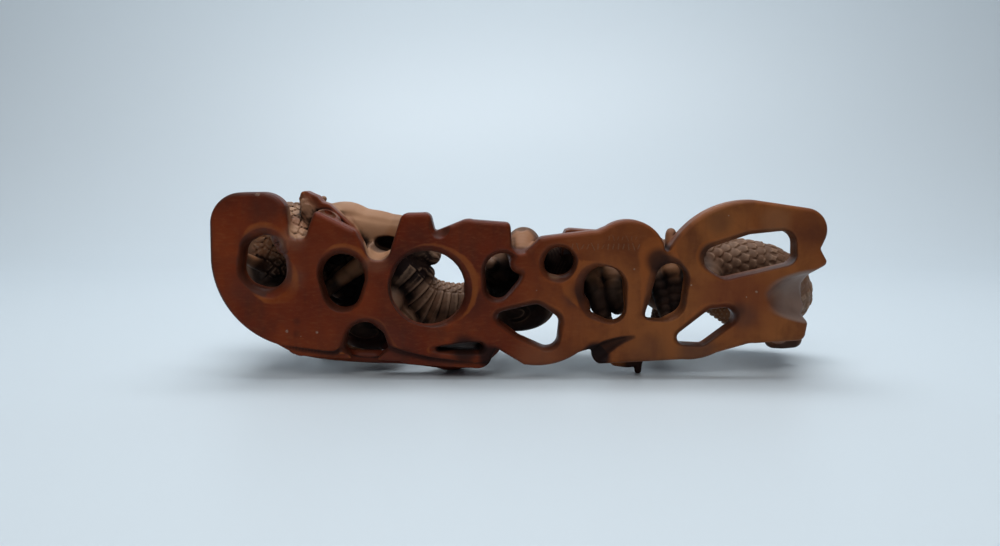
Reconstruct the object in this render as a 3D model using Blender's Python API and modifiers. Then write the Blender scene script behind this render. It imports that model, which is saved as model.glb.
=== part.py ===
"""Boxwood dragon carving: one carved solid, a dragon over a pierced root base, lying on its long edge.

Row axis +X (length), base face toward -Y, +Z up, ground at z = 0. Sizes in millimetres, made metres at the end.
"""

import math

import bmesh
import bpy
from mathutils import Matrix, Vector

# Driving sizes, mm
BASE_THICK = 11.0  # pierced base board, front face at y = 0
EDGE_ROUND = 2.2  # rounding of the board's rim
RIM_STEP = 2.2  # chord along the rim arcs
FACE_STOCK = 0.9  # left on the base face and the ground spots, then planed off
VOXEL = 0.95  # grain of the joined carving
BODY_TRIANGLES = 8900  # facets of the joined carving
HOLE_SIDES = 30
SCALE_M = 0.001

# The rim of the base, clockwise as seen from the face: name, centre x, centre z, radius, first and last angle
RIM = [
    ("left_lobe", -116.9, 66.6, 13.6, 178, 92),
    ("left_lobe_end", -108.6, 68.6, 11.7, 90, 30),
    ("notch1", -93.4, 63.9, 3.7, 197, 335),
    ("tip2", -85.4, 70.6, 1.5, 150, 60),
    ("lobe2_end", -71.3, 61.9, 2.9, 60, 22),
    ("notch2", -59.6, 56.8, 5.1, 198, 345),
    ("lobe3_left", -46.8, 67.9, 3.6, 160, 82),
    ("lobe3_right", -40.0, 68.6, 3.1, 82, 6),
    ("notch3", -35.0, 64.9, 0.9, 190, 285),
    ("lobe4_left", -21.4, 61.9, 7.0, 118, 72),
    ("lobe4_right", -5.6, 65.3, 2.2, 92, 0),
    ("notch4", 0.7, 58.7, 4.1, 205, 300),
    ("lobe5_left", 10.7, 58.0, 3.5, 125, 95),
    ("lobe5_step", 31.8, 70.3, 6.3, 262, 300),
    ("lobe5_top", 46.4, 52.4, 16.3, 125, 22),
    ("notch5", 62.8, 56.4, 0.9, 200, 340),
    ("lobe6_top", 98.0, 38.0, 39.0, 150, 88),
    ("lobe6_right", 120.8, 64.1, 9.6, 82, -22),
    ("nick", 130.8, 57.0, 2.9, 190, 215),
    ("point", 128.6, 50.9, 2.1, 15, -60),
    ("waist", 134.5, 38.4, 11.6, 128, 215),
    ("tail_lobe", 119.3, 24.4, 4.3, 45, 0),
    ("tail_lobe_low", 119.7, 20.0, 3.2, -10, -85),
    ("belly_right", 100.5, 4.7, 11.0, 85, 112),
    ("belly", 72.6, 34.7, 26.2, -62, -95),
    ("low_lobe", 35.4, 10.3, 3.6, -90, -190),
    ("lobe_meet", 30.3, 11.9, 1.0, 10, 100),
    ("mid_lobe", 8.0, 36.0, 30.1, -54, -99),
    ("mid_lobe_left", 3.6, 9.2, 3.2, -110, -135),
    ("strap_meet", -9.3, 11.9, 1.2, 60, 150),
    ("strap_end", -17.6, 10.8, 6.2, -10, -95),
    ("strap_low", -46.5, 13.9, 7.5, -95, -125),
    ("heel", -93.4, 15.1, 5.1, -80, -130),
    ("left_low", -91.5, 52.6, 39.3, -108, -178),
]

# Holes through the base, each the hull of a few circles (x, z, radius): the throat, then the wider mouth at the face
HOLES = [
    ("eye_left", [(-107.7, 53.9, 8.1), (-107.4, 47.0, 8.1), (-110.0, 47.8, 8.1), (-111.5, 54.7, 5.6)],
     [(-107.5, 56.0, 10.5), (-105.3, 45.0, 10.6), (-110.3, 48.4, 9.3)]),
    ("eye_small", [(-75.4, 44.4, 9.6), (-75.5, 37.9, 7.6)], [(-74.4, 46.7, 11.2), (-74.6, 38.2, 8.9)]),
    ("eye_round", [(-39.3, 39.0, 16.3)], [(-38.0, 41.0, 17.4), (-35.5, 40.0, 17.0)]),
    ("egg", [(-6.7, 46.5, 7.8), (-9.0, 39.5, 5.2)], [(-6.7, 47.0, 9.3), (-9.3, 40.0, 6.4)]),
    ("egg_high", [(17.5, 50.6, 6.3), (15.8, 49.6, 5.0)], [(16.6, 50.2, 8.4)]),
    ("pear", [(36.7, 40.1, 8.6), (40.3, 30.5, 5.8), (34.6, 34.0, 6.5)],
     [(31.8, 40.7, 10.2), (36.9, 39.9, 9.3), (38.7, 31.3, 6.8), (33.6, 33.0, 7.2)]),
    ("shell", [(-6.3, 26.6, 2.6), (7.1, 27.0, 5.2), (12.7, 23.9, 4.7), (12.0, 18.2, 4.8), (2.8, 22.8, 5.2)],
     [(-7.6, 27.6, 3.8), (6.9, 28.3, 6.8), (13.3, 25.3, 6.4), (12.2, 18.3, 6.0), (1.8, 22.7, 5.5)]),
    ("leaf", [(65.4, 43.5, 6.4), (63.9, 34.0, 6.9), (61.0, 29.6, 4.3), (56.7, 27.9, 2.2)],
     [(60.8, 50.4, 6.6), (65.2, 43.3, 7.2), (62.5, 33.9, 8.5), (55.6, 29.6, 3.6)]),
    ("long_eye", [(84.9, 51.7, 5.6), (88.8, 49.6, 5.8), (99.7, 55.6, 6.8), (112.0, 58.1, 5.6), (113.5, 53.6, 4.2)],
     [(82.6, 53.0, 7.0), (87.9, 50.1, 7.0), (98.2, 56.4, 8.0), (110.4, 58.6, 6.7), (112.2, 54.2, 5.3)]),
    ("diamond", [(71.2, 17.8, 2.8), (78.5, 18.2, 3.5), (88.6, 26.6, 4.1), (83.9, 25.7, 4.5)],
     [(69.2, 18.8, 3.8), (77.3, 19.2, 4.7), (88.6, 28.1, 5.5), (81.8, 27.0, 6.0)]),
    ("arch", [(-66.0, 15.8, 8.7), (-73.6, 13.5, 1.5), (-58.0, 13.8, 1.6)],
     [(-65.2, 17.5, 9.8), (-76.0, 13.2, 1.7), (-54.2, 13.2, 1.7)]),
    ("slot", [(-17.5, 13.8, 1.9), (-24.5, 14.1, 1.5), (-34.0, 13.2, 0.7)], [(-16.5, 13.8, 3.1), (-25.1, 13.4, 2.8), (-37.1, 13.2, 1.2)]),
]
THROAT = 5.0  # how deep the mouth narrows to the throat

# Grooves cut into the face: name, then (x, y, z, radius)
GROOVES = [
    ("crescent", [(49.0, 0.0, 18.7, 0.5), (43.4, 0.0, 17.1, 1.5), (37.4, 0.0, 14.2, 2.8), (33.4, -0.5, 11.2, 3.4), (29.5, 0.0, 9.0, 4.0)]),
    ("strap_line", [(-79.0, 0.2, 10.6, 0.4), (-66.0, 0.0, 10.3, 0.8), (-54.0, 0.0, 9.4, 0.9), (-43.0, 0.2, 8.4, 0.4)]),
]

# Flat upstanding pieces: name, front and back, rounding, outline in x and z
PLATES = [
    ("crest", 15.0, 25.0, 0.7, [(-94.7, 72.0), (-94.6, 80.0), (-93.2, 80.5), (-88.0, 78.2), (-85.9, 75.7), (-82.8, 74.7), (-78.5, 70.8), (-74.6, 66.8), (-71.6, 62.8), (-69.5, 57.0), (-76.5, 60.0), (-78.6, 66.4), (-81.6, 68.8), (-84.2, 71.2), (-88.0, 72.2), (-91.7, 70.0)]),
    ("back_slab", 15.0, 27.0, 1.0, [(19.0, 52.0), (20.0, 61.2), (21.0, 63.3), (23.2, 63.9), (32.2, 63.2), (39.0, 62.8), (40.0, 52.0)]),
]

# Rounded limbs and roots: name, then (x, y, z, radius) along the middle line
LIMBS = [
    ("body", [(-72, 45, 45, 10.5), (-57, 39, 42, 11), (-43, 44, 27, 11.5), (-22, 48, 23, 12.5), (0, 50, 32, 13.5),
              (22, 50, 45, 13.5), (46, 47, 47, 13), (70, 45, 44, 12.5), (92, 45, 44.5, 12.6), (112, 45, 43.6, 12.2),
              (125, 44, 39, 11), (131, 46, 30, 9.2), (127, 51, 21.5, 7.8), (115, 57, 18.5, 6.8), (104, 60, 21.5, 6.0),
              (94, 62, 28, 5.2), (88, 64, 38, 4.4), (83, 66, 46, 3.6)]),
    ("neck", [(-72, 45, 45, 10.5), (-90, 45, 43, 11), (-108, 38, 46, 13.5), (-109, 37, 57, 12.5), (-101, 47, 63, 10.5),
              (-98, 58, 62, 8.8), (-104, 64, 56, 8.2)]),
    ("muzzle_upper", [(-105, 65, 56, 8.0), (-115, 68, 53, 6.6), (-124, 70, 50, 4.6), (-127, 71.5, 49, 3.6)]),
    ("muzzle_lower", [(-106, 60, 53, 6.0), (-115, 59, 50, 4.0), (-123, 59.5, 48, 3.0)]),
    ("tongue", [(-110, 61, 52, 2.6), (-118, 63.5, 49.5, 2.0), (-124, 64.5, 49, 1.4)]),
    ("horn_left", [(-103, 70, 59, 2.8), (-94, 75, 62, 2.2), (-86, 76.5, 66, 1.3)]),
    ("horn_right", [(-104, 70, 52, 2.8), (-95, 75, 49, 2.2), (-87, 77, 46, 1.3)]),
    ("mane_1", [(-99, 62, 65, 4.0), (-89, 63, 69, 3.0), (-81, 60, 72, 1.4)]),
    ("mane_2", [(-97, 62, 58, 4.4), (-85, 65, 59, 3.2), (-76, 64, 62, 1.4)]),
    ("mane_3", [(-99, 60, 51, 4.2), (-88, 63, 48, 3.0), (-79, 62, 46, 1.4)]),
    ("mane_4", [(-104, 56, 68, 3.6), (-98, 54, 73.5, 2.4), (-92, 50, 76, 1.3)]),
    ("beard", [(-112, 57, 51, 3.0), (-113, 50, 46, 2.2), (-109, 45, 43, 1.4)]),
    ("whisker", [(-124, 68, 52, 1.6), (-123, 62, 59, 1.4), (-117, 56, 63, 1.3)]),
    # gullies, crest and scroll behind the rim
    ("saddle_1", [(-93.5, 4.5, 55.2, 5.0), (-98, 14, 60, 8.5), (-102, 28, 64.5, 10.5)]),
    ("saddle_2", [(-59.6, 4.5, 46.4, 5.2), (-61, 15, 50, 7.0), (-63, 28, 50, 9.0)]),
    ("saddle_4", [(0.7, 4.5, 50.0, 4.6), (1.5, 12, 54.5, 6.5), (2.5, 22, 57.0, 7.4), (2.0, 34, 50, 8.0)]),
    ("crest_root", [(-88, 21, 71, 3.0), (-84, 27, 68, 5.0), (-82, 36, 64, 7.0)]),
    ("crest_stub", [(-93.2, 15.5, 78.6, 1.7), (-92.6, 14.8, 75, 2.7), (-91.5, 14.5, 71.0, 3.2), (-91, 18, 66, 4.0)]),
    ("scroll", [(-84, 36, 65.0, 9.5), (-78, 34.5, 64.8, 10.4), (-71, 34, 62.6, 9.8), (-60, 34, 60.8, 8.8), (-53, 34, 60.3, 7.0)]),
    ("bump_5", [(66.4, 10, 54, 3.0), (66.6, 13, 60.5, 2.6), (66.8, 14.5, 62.2, 2.2)]),
    # jagged mane behind the round eye
    ("tuft_1", [(-54, 38, 54, 7.0), (-46, 38, 53, 5.4), (-40.2, 38, 50.3, 4.4)]),
    ("tuft_2", [(-54, 38, 44, 7.0), (-47, 38, 43.5, 4.8), (-42.6, 38, 41.4, 3.8)]),
    ("tuft_3", [(-56, 38, 39, 7.0), (-49, 38, 38, 4.8), (-44.4, 38, 36.0, 3.6)]),
    ("whisker_low", [(-60, 33, 33.0, 2.0), (-53, 32, 33.8, 1.6), (-46, 34, 31.0, 1.0)]),
    # fore legs
    ("fore_left", [(-60, 40, 54, 8.0), (-67, 31, 50, 5.2), (-76, 27.5, 43.6, 3.9), (-84, 26, 37.8, 3.4), (-90, 25, 33.5, 3.8), (-97, 22, 27, 4.6), (-103, 14, 26, 5.0)]),
    ("fore_left_toe", [(-93, 24, 27, 4.2), (-97, 16, 18, 3.4), (-96, 10, 14, 2.8)]),
    ("fore_right", [(-58, 44, 34, 9.0), (-58, 52, 19, 6.4), (-68, 56, 9, 5.2), (-80, 56, 5.0, 4.4), (-90, 54, 3.4, 3.6)]),
    ("fore_right_toe_1", [(-80, 56, 5.0, 3.8), (-87, 60, 4.2, 3.0), (-94, 62, 2.4, 2.0)]),
    ("fore_right_toe_2", [(-80, 56, 5.0, 3.8), (-86, 50, 4.0, 3.0), (-92, 46, 2.4, 2.0)]),
    # hind leg behind the pear hole, its toes hanging side by side
    ("hind_left", [(48, 48, 50, 11.0), (54, 37, 53, 7.0), (46, 31, 48, 6.0), (38, 28, 44, 6.0)]),
    ("toe_1", [(31.5, 28, 42.5, 4.6), (32.9, 24.5, 40.5, 5.0), (35.5, 22, 33, 4.4), (39.5, 20, 22, 3.0)]),
    ("toe_2", [(42.0, 28, 43.5, 4.8), (42.4, 24.5, 41.0, 5.3), (43.0, 22, 34, 4.6), (45.0, 22, 28.5, 3.4)]),
    ("toe_3", [(50, 28, 41, 4.4), (50, 25, 36, 4.2), (49, 24, 31, 3.2)]),
    # hind leg behind the leaf hole
    ("hind_right", [(80, 47, 42, 10.5), (76, 36, 50, 6.5), (70, 30, 47, 5.4)]),
    ("finger_1", [(62, 29, 46, 4.2), (63.5, 25.5, 40, 3.8), (65.2, 22, 31, 3.2), (66.5, 19, 24, 2.4)]),
    ("finger_2", [(68.5, 29, 47.5, 4.0), (69.0, 25, 44, 3.9), (70, 23, 36, 3.6), (70.5, 20, 28, 2.8)]),
    ("finger_3", [(74.5, 29, 45, 4.0), (75.2, 26, 40, 3.8), (75, 23, 32, 3.4), (74, 20, 25.5, 2.6)]),
    ("hind_support", [(80, 49, 38, 8.0), (74, 58, 24, 5.6), (71, 60, 10, 4.8), (69, 60, 2.6, 4.2)]),
    ("hind_support_toe_1", [(71, 60, 10, 3.8), (63, 62, 4.6, 3.0), (57, 63, 2.0, 2.0)]),
    ("hind_support_toe_2", [(71, 60, 10, 3.8), (67, 68, 4.6, 3.0), (64, 72, 2.0, 2.0)]),
    # roots that tie the carving to its base
    ("root_a", [(5, 8, 48, 5.0), (4, 24, 46, 4.6), (3, 38, 42, 7.0)]),
    ("root_b", [(26, 8, 31, 5.0), (23, 24, 33, 4.6), (20, 38, 38, 8.0)]),
    ("root_c", [(52, 8, 36, 5.0), (55, 22, 41, 4.6), (56, 36, 42, 8.0)]),
    ("root_d", [(82, 8, 37, 5.5), (85, 22, 37, 5.0), (88, 36, 42, 8.0)]),
    ("root_e", [(-58, 8, 26, 5.5), (-58, 22, 28, 5.0), (-58, 36, 33, 8.0)]),
    ("root_f", [(113, 8, 33, 8.0), (119, 22, 36, 7.5), (124, 38, 37, 8.5)]),
    ("root_g", [(-112, 8, 29, 6.5), (-111, 22, 30, 7.5), (-109, 36, 36, 10)]),
    ("root_h", [(-19, 8, 39, 4.4), (-18, 20, 35, 4.4), (-17, 36, 30, 7.0)]),
    ("root_low", [(-14, 8, 19, 5.0), (-12, 22, 19, 5.0), (-6, 38, 25, 8.5)]),
    ("root_tail", [(112, 8, 20, 5.0), (118, 22, 16, 4.6), (124, 34, 14, 4.2), (127, 46, 20, 5.0)]),
    ("tail_claw", [(117.5, 27, 12.6, 4.2), (122, 28, 12.4, 4.4), (126.5, 28, 12.6, 4.2)]),
    # lower band set back under the arch, and what it stands on
    ("band", [(-97, 10, 13.5, 4.4), (-87, 12, 10.6, 3.8), (-76, 12, 8.6, 3.0), (-64, 12, 7.8, 2.9), (-53, 12, 7.8, 3.2), (-42, 12, 7.6, 4.0), (-30, 14, 7.4, 5.6), (-19, 14, 8.8, 5.6), (-13, 12, 12.0, 4.6), (-10, 9, 17, 4.6)]),
    ("band_foot", [(-32, 17, 6.4, 5.8), (-28, 22, 5.2, 5.6)]),
    ("peg_root", [(43.5, 12, 6.8, 3.4), (49, 13, 5.8, 3.2), (52.5, 13, 7, 3.2)]),
    ("peg", [(53.0, 13, 6.0, 2.1), (53.2, 13, 2.2, 1.6), (53.2, 13, 1.3, 1.5)]),
    ("peg_left", [(-121.0, 16, 51.6, 2.2), (-118.0, 21, 48.6, 2.7), (-114.0, 29, 45.0, 2.8)]),
    ("fin_left", [(-88, 24.5, 37.0, 1.5), (-80, 25.2, 42.5, 2.0), (-72, 26.0, 48.0, 1.5)]),
    ("tail_flame_1", [(83, 66, 46, 3.6), (79, 68, 51, 3.0), (77, 69.5, 56, 1.4)]),
    ("tail_flame_2", [(83, 66, 46, 3.6), (76, 69, 47, 3.0), (69, 71, 49, 1.4)]),
    ("tail_flame_3", [(83, 66, 46, 3.6), (77, 68, 41, 2.8), (71, 70, 38, 1.4)]),
]

# Rounded masses: name, centre, half sizes, turn about y
MASSES = [
    ("brow", (-106, 68, 56), (7.5, 5.6, 7.8), 0),
    ("nose", (-127, 73, 49), (3.6, 3.2, 4.6), 0),
    ("cheek_left", (-106, 62, 61), (5.5, 4.2, 3.4), 0),
    ("cheek_right", (-107, 62, 49), (5.5, 4.2, 3.4), 0),
    ("lens_pad", (-82.4, 12.5, 69.0), (5.6, 5.5, 3.0), 24),
    ("knob_2", (-85.5, 31, 51.0), (2.6, 4, 2.8), 0),
    ("knob_4", (-12, 27, 47), (3.2, 4.5, 3.4), 0),
    ("lump_3", (-27.4, 34, 38.2), (3.5, 5, 3.4), 0),
    ("wedge_5", (17.5, 30, 50.0), (8.5, 8, 10.0), 0),
    ("cloud_1", (-78, 42, 36), (17, 12, 15), 0),
    ("cloud_2", (-57, 41, 46), (13, 11, 14), 0),
    ("cloud_3", (-66, 33, 19), (20, 14, 12.5), 0),
    ("cloud_4", (-5, 41, 44), (14, 13, 14), 0),
    ("cloud_5", (0, 37, 27.0), (18, 13, 12.5), 0),
    ("cloud_6", (38, 42, 40), (17, 12, 16), 0),
    ("cloud_7", (70, 41, 38), (13, 11, 15), 0),
    ("cloud_8", (-34, 46, 21), (18, 13, 11), 0),
    ("haunch", (50, 50, 50), (15, 13, 12), 20),
    ("shoulder", (-60, 46, 50), (11, 10, 10), -20),
    ("waist_block", (113, 15, 33), (10.5, 13, 14), 0),
    ("root_mass", (-112, 20, 27), (11, 12, 10.5), 0),
    ("root_left", (-119, 34, 47), (10.5, 8, 16), 0),
]

SPINES = 22  # dorsal spikes from the neck to the tail
SPINE_HEIGHT = 5.2
WAIST_SCOOP = ((140.0, -7.0, 36.0), (38.0, 19.0, 13.0))  # concave scoop at the right end


def smooth_path(points, per_span):
    """Catmull-Rom through (x, y, z, radius) rows."""
    rows = [Vector(p) for p in points]
    rows = [2 * rows[0] - rows[1]] + rows + [2 * rows[-1] - rows[-2]]
    out = []
    for i in range(1, len(rows) - 2):
        a, b, c, d = rows[i - 1 : i + 3]
        for k in range(per_span):
            t = k / per_span
            out.append(0.5 * (2 * b + (c - a) * t + (2 * a - 5 * b + 4 * c - d) * t * t + (3 * b - a - 3 * c + d) * t**3))
    out.append(rows[-2])
    return out


def arc_points(arcs, step):
    points = []
    for _, cx, cz, r, first, last in arcs:
        count = max(2, int(abs(last - first) * math.pi / 180 * r / step) + 1)
        for k in range(count + 1):
            a = math.radians(first + (last - first) * k / count)
            points.append((cx + r * math.cos(a), cz + r * math.sin(a)))
    return points


def circle_hull(circles, sides=24):
    """The rounded outline that a string pulled round the circles would take."""
    rim = sorted(
        (cx + r * math.cos(a), cz + r * math.sin(a))
        for cx, cz, r in circles
        for a in (2 * math.pi * k / sides for k in range(sides))
    )

    def half(points):
        line = []
        for p in points:
            while len(line) > 1 and (line[-1][0] - line[-2][0]) * (p[1] - line[-2][1]) <= (line[-1][1] - line[-2][1]) * (p[0] - line[-2][0]):
                line.pop()
            line.append(p)
        return line[:-1]

    return half(rim) + half(rim[::-1])


def reach(outline, cx, cz, angle):
    """How far the outline lies from a point inside it, at this angle."""
    dx, dz = math.cos(angle), math.sin(angle)
    for (x0, z0), (x1, z1) in zip(outline, outline[1:] + outline[:1]):
        ex, ez = x1 - x0, z1 - z0
        cross = dx * ez - dz * ex
        if abs(cross) < 1e-9:
            continue
        far = ((x0 - cx) * ez - (z0 - cz) * ex) / cross
        share = ((x0 - cx) * dz - (z0 - cz) * dx) / cross
        if far > 0 and -1e-9 <= share <= 1 + 1e-9:
            return far
    return 0.0


def add_object(name, mesh, collection):
    obj = bpy.data.objects.new(name, mesh)
    collection.objects.link(obj)
    return obj


def evaluated_mesh(obj, name):
    bpy.context.view_layer.update()
    graph = bpy.context.evaluated_depsgraph_get()
    mesh = bpy.data.meshes.new_from_object(obj.evaluated_get(graph))
    mesh.name = name
    return mesh


def curve_to_mesh(obj, name):
    """The curve as a welded mesh; the curve goes."""
    mesh = evaluated_mesh(obj, name)
    mesh.transform(obj.matrix_world)
    data = obj.data
    bpy.data.objects.remove(obj)
    bpy.data.curves.remove(data)
    bm = bmesh.new()
    bm.from_mesh(mesh)
    bmesh.ops.remove_doubles(bm, verts=bm.verts, dist=1e-4)
    bmesh.ops.recalc_face_normals(bm, faces=bm.faces)
    bm.to_mesh(mesh)
    bm.free()
    return mesh


def board(outline, y_front, y_back, rounding, collection):
    """A flat board with this outline in x and z, its rim rounded."""
    curve = bpy.data.curves.new("board", "CURVE")
    curve.dimensions = "2D"
    curve.fill_mode = "BOTH"
    curve.extrude = (y_back - y_front) / 2 - rounding
    curve.bevel_depth = rounding
    curve.bevel_resolution = 3
    curve.offset = -rounding
    spline = curve.splines.new("POLY")
    spline.points.add(len(outline) - 1)
    for point, (x, z) in zip(spline.points, outline):
        point.co = (x, z, 0, 1)
    spline.use_cyclic_u = True
    obj = add_object("board", curve, collection)
    obj.matrix_world = Matrix.Translation((0, (y_front + y_back) / 2, 0)) @ Matrix.Rotation(math.pi / 2, 4, "X")
    return curve_to_mesh(obj, "board")


def tube(points, collection, sides=4):
    """A limb of changing thickness along a smooth line."""
    curve = bpy.data.curves.new("tube", "CURVE")
    curve.dimensions = "3D"
    curve.fill_mode = "FULL"
    curve.bevel_depth = 1.0
    curve.bevel_resolution = sides
    curve.use_fill_caps = True
    spline = curve.splines.new("POLY")
    spline.points.add(len(points) - 1)
    for point, (x, y, z, r) in zip(spline.points, points):
        point.co = (x, y, z, 1)
        point.radius = r
    return curve_to_mesh(add_object("tube", curve, collection), "tube")


def ball(centre, half_sizes, turn=0.0, u=24, v=14):
    mesh = bpy.data.meshes.new("ball")
    bm = bmesh.new()
    matrix = (
        Matrix.Translation(centre)
        @ Matrix.Rotation(math.radians(turn), 4, "Y")
        @ Matrix.Diagonal((*half_sizes, 1))
    )
    bmesh.ops.create_uvsphere(bm, u_segments=u, v_segments=v, radius=1, matrix=matrix)
    bm.to_mesh(mesh)
    bm.free()
    return mesh


def spike(base, tip, radius):
    """A cone from base to tip."""
    axis = Vector(tip) - Vector(base)
    matrix = Matrix.Translation((Vector(base) + Vector(tip)) / 2) @ axis.to_track_quat("Z", "Y").to_matrix().to_4x4()
    mesh = bpy.data.meshes.new("spike")
    bm = bmesh.new()
    bmesh.ops.create_cone(bm, cap_ends=True, segments=10, radius1=radius, radius2=0.5, depth=axis.length, matrix=matrix)
    bm.to_mesh(mesh)
    bm.free()
    return mesh


def funnel(throat, mouth, depth):
    """A cutter that narrows from the mouth at the face to the throat."""
    inner, outer = circle_hull(throat), circle_hull(mouth)
    cx = sum(x for x, _ in inner) / len(inner)
    cz = sum(z for _, z in inner) / len(inner)
    bm = bmesh.new()
    rings = []
    for y in (-3.0, 0.0, 0.3 * THROAT, 0.65 * THROAT, THROAT, depth):
        share = 1.0 - 0.5 * y / 3.0 if y < 0 else max(0.0, 1 - y / THROAT) ** 2
        ring = []
        for k in range(HOLE_SIDES):
            a = 2 * math.pi * k / HOLE_SIDES
            r = reach(inner, cx, cz, a)
            r += (reach(outer, cx, cz, a) - r) * share
            ring.append(bm.verts.new((cx + r * math.cos(a), y, cz + r * math.sin(a))))
        rings.append([bm.edges.new((ring[k], ring[(k + 1) % HOLE_SIDES])) for k in range(HOLE_SIDES)])
    for a, b in zip(rings, rings[1:]):
        bmesh.ops.bridge_loops(bm, edges=a + b)
    bmesh.ops.holes_fill(bm, edges=rings[0] + rings[-1], sides=0)
    bmesh.ops.recalc_face_normals(bm, faces=bm.faces)
    mesh = bpy.data.meshes.new("funnel")
    bm.to_mesh(mesh)
    bm.free()
    return mesh


def box(name, low, high, collection):
    mesh = bpy.data.meshes.new(name)
    bm = bmesh.new()
    size = Vector(high) - Vector(low)
    matrix = Matrix.Translation((Vector(low) + Vector(high)) / 2) @ Matrix.Diagonal((*size, 1))
    bmesh.ops.create_cube(bm, size=1, matrix=matrix)
    bm.to_mesh(mesh)
    bm.free()
    return cutter(name, mesh, collection)


def cutter(name, mesh, collection):
    obj = add_object(name, mesh, collection)
    obj.hide_render = True
    obj.display_type = "WIRE"
    return obj


def cut(obj, tool):
    modifier = obj.modifiers.new(tool.name, "BOOLEAN")
    modifier.operation = "DIFFERENCE"
    modifier.solver = "EXACT"
    modifier.object = tool


def joined(meshes, name):
    bm = bmesh.new()
    for mesh in meshes:
        bm.from_mesh(mesh)
    out = bpy.data.meshes.new(name)
    bm.to_mesh(out)
    bm.free()
    for mesh in meshes:
        bpy.data.meshes.remove(mesh)
    return out


def settle(obj):
    """The modifiers become the mesh."""
    mesh = evaluated_mesh(obj, obj.name)
    old = obj.data
    obj.modifiers.clear()
    obj.data = mesh
    bpy.data.meshes.remove(old)


def spines_along(points, count, height):
    """Spikes along the back, the side away from the base."""
    path = smooth_path(points, 12)
    out = []
    for k in range(count):
        s = (k + 0.5) / count * (len(path) - 2)
        i = int(s)
        here = path[i].lerp(path[i + 1], s - i)
        along = (path[i + 1].xyz - path[i].xyz).normalized()
        up = Vector((0, 1, 0)) - along * along.y
        if up.length < 0.35:
            up = Vector((0, 0.35, 1)) - along * along.z
        up.normalize()
        r = here.w
        base = here.xyz + up * (r * 0.72)
        tip = here.xyz + up * (r + height * (0.5 + 0.5 * r / 13)) + along * height * 0.45
        out.append(spike(base, tip, 0.34 * height * (0.6 + 0.4 * r / 13) + 0.6))
    return out


def build():
    for obj in list(bpy.data.objects):
        bpy.data.objects.remove(obj)
    scene = bpy.context.scene
    parts = bpy.data.collections.new("boxwood_dragon_carving")
    cutters = bpy.data.collections.new("cutters")
    scene.collection.children.link(parts)
    scene.collection.children.link(cutters)

    outline = arc_points(RIM, RIM_STEP)
    pierced = add_object("pierced_base", board(outline, -FACE_STOCK, BASE_THICK, EDGE_ROUND, parts), parts)
    holes = [cutter(name, funnel(throat, mouth, BASE_THICK + 2.5), cutters) for name, throat, mouth in HOLES]
    holes += [cutter(name, tube(smooth_path(points, 4), cutters), cutters) for name, points in GROOVES]
    for hole in holes:
        cut(pierced, hole)
    settle(pierced)

    meshes = [pierced.data.copy()]
    bpy.data.objects.remove(pierced)
    for _, points in LIMBS:
        path = smooth_path(points, 5)
        meshes.append(tube(path, parts))
        for end in (path[0], path[-1]):
            meshes.append(ball(end.xyz, (end.w,) * 3, u=14, v=8))
    for _, front, back, rounding, outline in PLATES:
        meshes.append(board(outline, front, back, rounding, parts))
    for _, centre, half_sizes, turn in MASSES:
        meshes.append(ball(centre, half_sizes, turn))
    named = dict(LIMBS)
    meshes += spines_along(named["body"][1:-2], SPINES, SPINE_HEIGHT)
    meshes += spines_along(named["neck"][1:6], 7, SPINE_HEIGHT)

    carving = add_object("dragon_carving", joined(meshes, "dragon_carving"), parts)
    remesh = carving.modifiers.new("grain", "REMESH")
    remesh.mode = "VOXEL"
    remesh.voxel_size = VOXEL
    settle(carving)
    scoop = cutter("scoop", ball(*WAIST_SCOOP, u=36, v=24), cutters)
    cut(carving, scoop)
    settle(carving)
    triangles = sum(len(p.vertices) - 2 for p in carving.data.polygons)
    decimate = carving.modifiers.new("facets", "DECIMATE")
    decimate.ratio = BODY_TRIANGLES / triangles
    settle(carving)
    holes.append(scoop)
    holes.append(box("face_plane", (-200, -20, -20), (200, 0, 120), cutters))
    holes.append(box("ground_plane", (-200, -30, -20), (200, 120, 0), cutters))
    for plane in holes[-2:]:
        cut(carving, plane)
    settle(carving)

    # keep the one body that holds the carving
    bm = bmesh.new()
    bm.from_mesh(carving.data)
    bm.verts.ensure_lookup_table()
    seen, groups = set(), []
    for start in bm.verts:
        if start in seen:
            continue
        group, todo = [], [start]
        seen.add(start)
        while todo:
            vert = todo.pop()
            group.append(vert)
            for edge in vert.link_edges:
                other = edge.other_vert(vert)
                if other not in seen:
                    seen.add(other)
                    todo.append(other)
        groups.append(group)
    groups.sort(key=len)
    print("bodies", [len(g) for g in groups])
    bmesh.ops.delete(bm, geom=[v for g in groups[:-1] for v in g], context="VERTS")
    bm.to_mesh(carving.data)
    bm.free()

    corners = [v.co.copy() for v in carving.data.vertices]
    low = Vector([min(c[i] for c in corners) for i in range(3)])
    high = Vector([max(c[i] for c in corners) for i in range(3)])
    print("box before the shift", low, high, "triangles", len(carving.data.polygons))
    shift = Vector((-(low.x + high.x) / 2, -(low.y + high.y) / 2, -low.z))
    print("shift", shift)
    carving.data.transform(Matrix.Scale(SCALE_M, 4) @ Matrix.Translation(shift))
    for hole in holes:
        hole.data.transform(Matrix.Scale(SCALE_M, 4) @ Matrix.Translation(shift))

    wood = bpy.data.materials.new("boxwood")
    wood.use_nodes = True
    shader = wood.node_tree.nodes["Principled BSDF"]
    shader.inputs["Base Color"].default_value = (0.105, 0.028, 0.012, 1)
    shader.inputs["Roughness"].default_value = 0.42
    carving.data.materials.clear()
    carving.data.materials.append(wood)
    for polygon in carving.data.polygons:
        polygon.use_smooth = False


build()
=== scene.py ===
"""Looks of the boxwood dragon carving: one sculpted wood piece in place of the CAD node, on a pale studio sweep.

The sculpt is a distance field on a grid, in the design frame of the solid: millimetres, x along, y from the base
face toward the dragon's back, z up. It is meshed, thinned and coloured by its own hollows and edges, which carry
painted shade and painted highlights as well as grime and wear.
"""

import math
import time

import bpy
import numpy as np
from mathutils import Matrix, Vector


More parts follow.
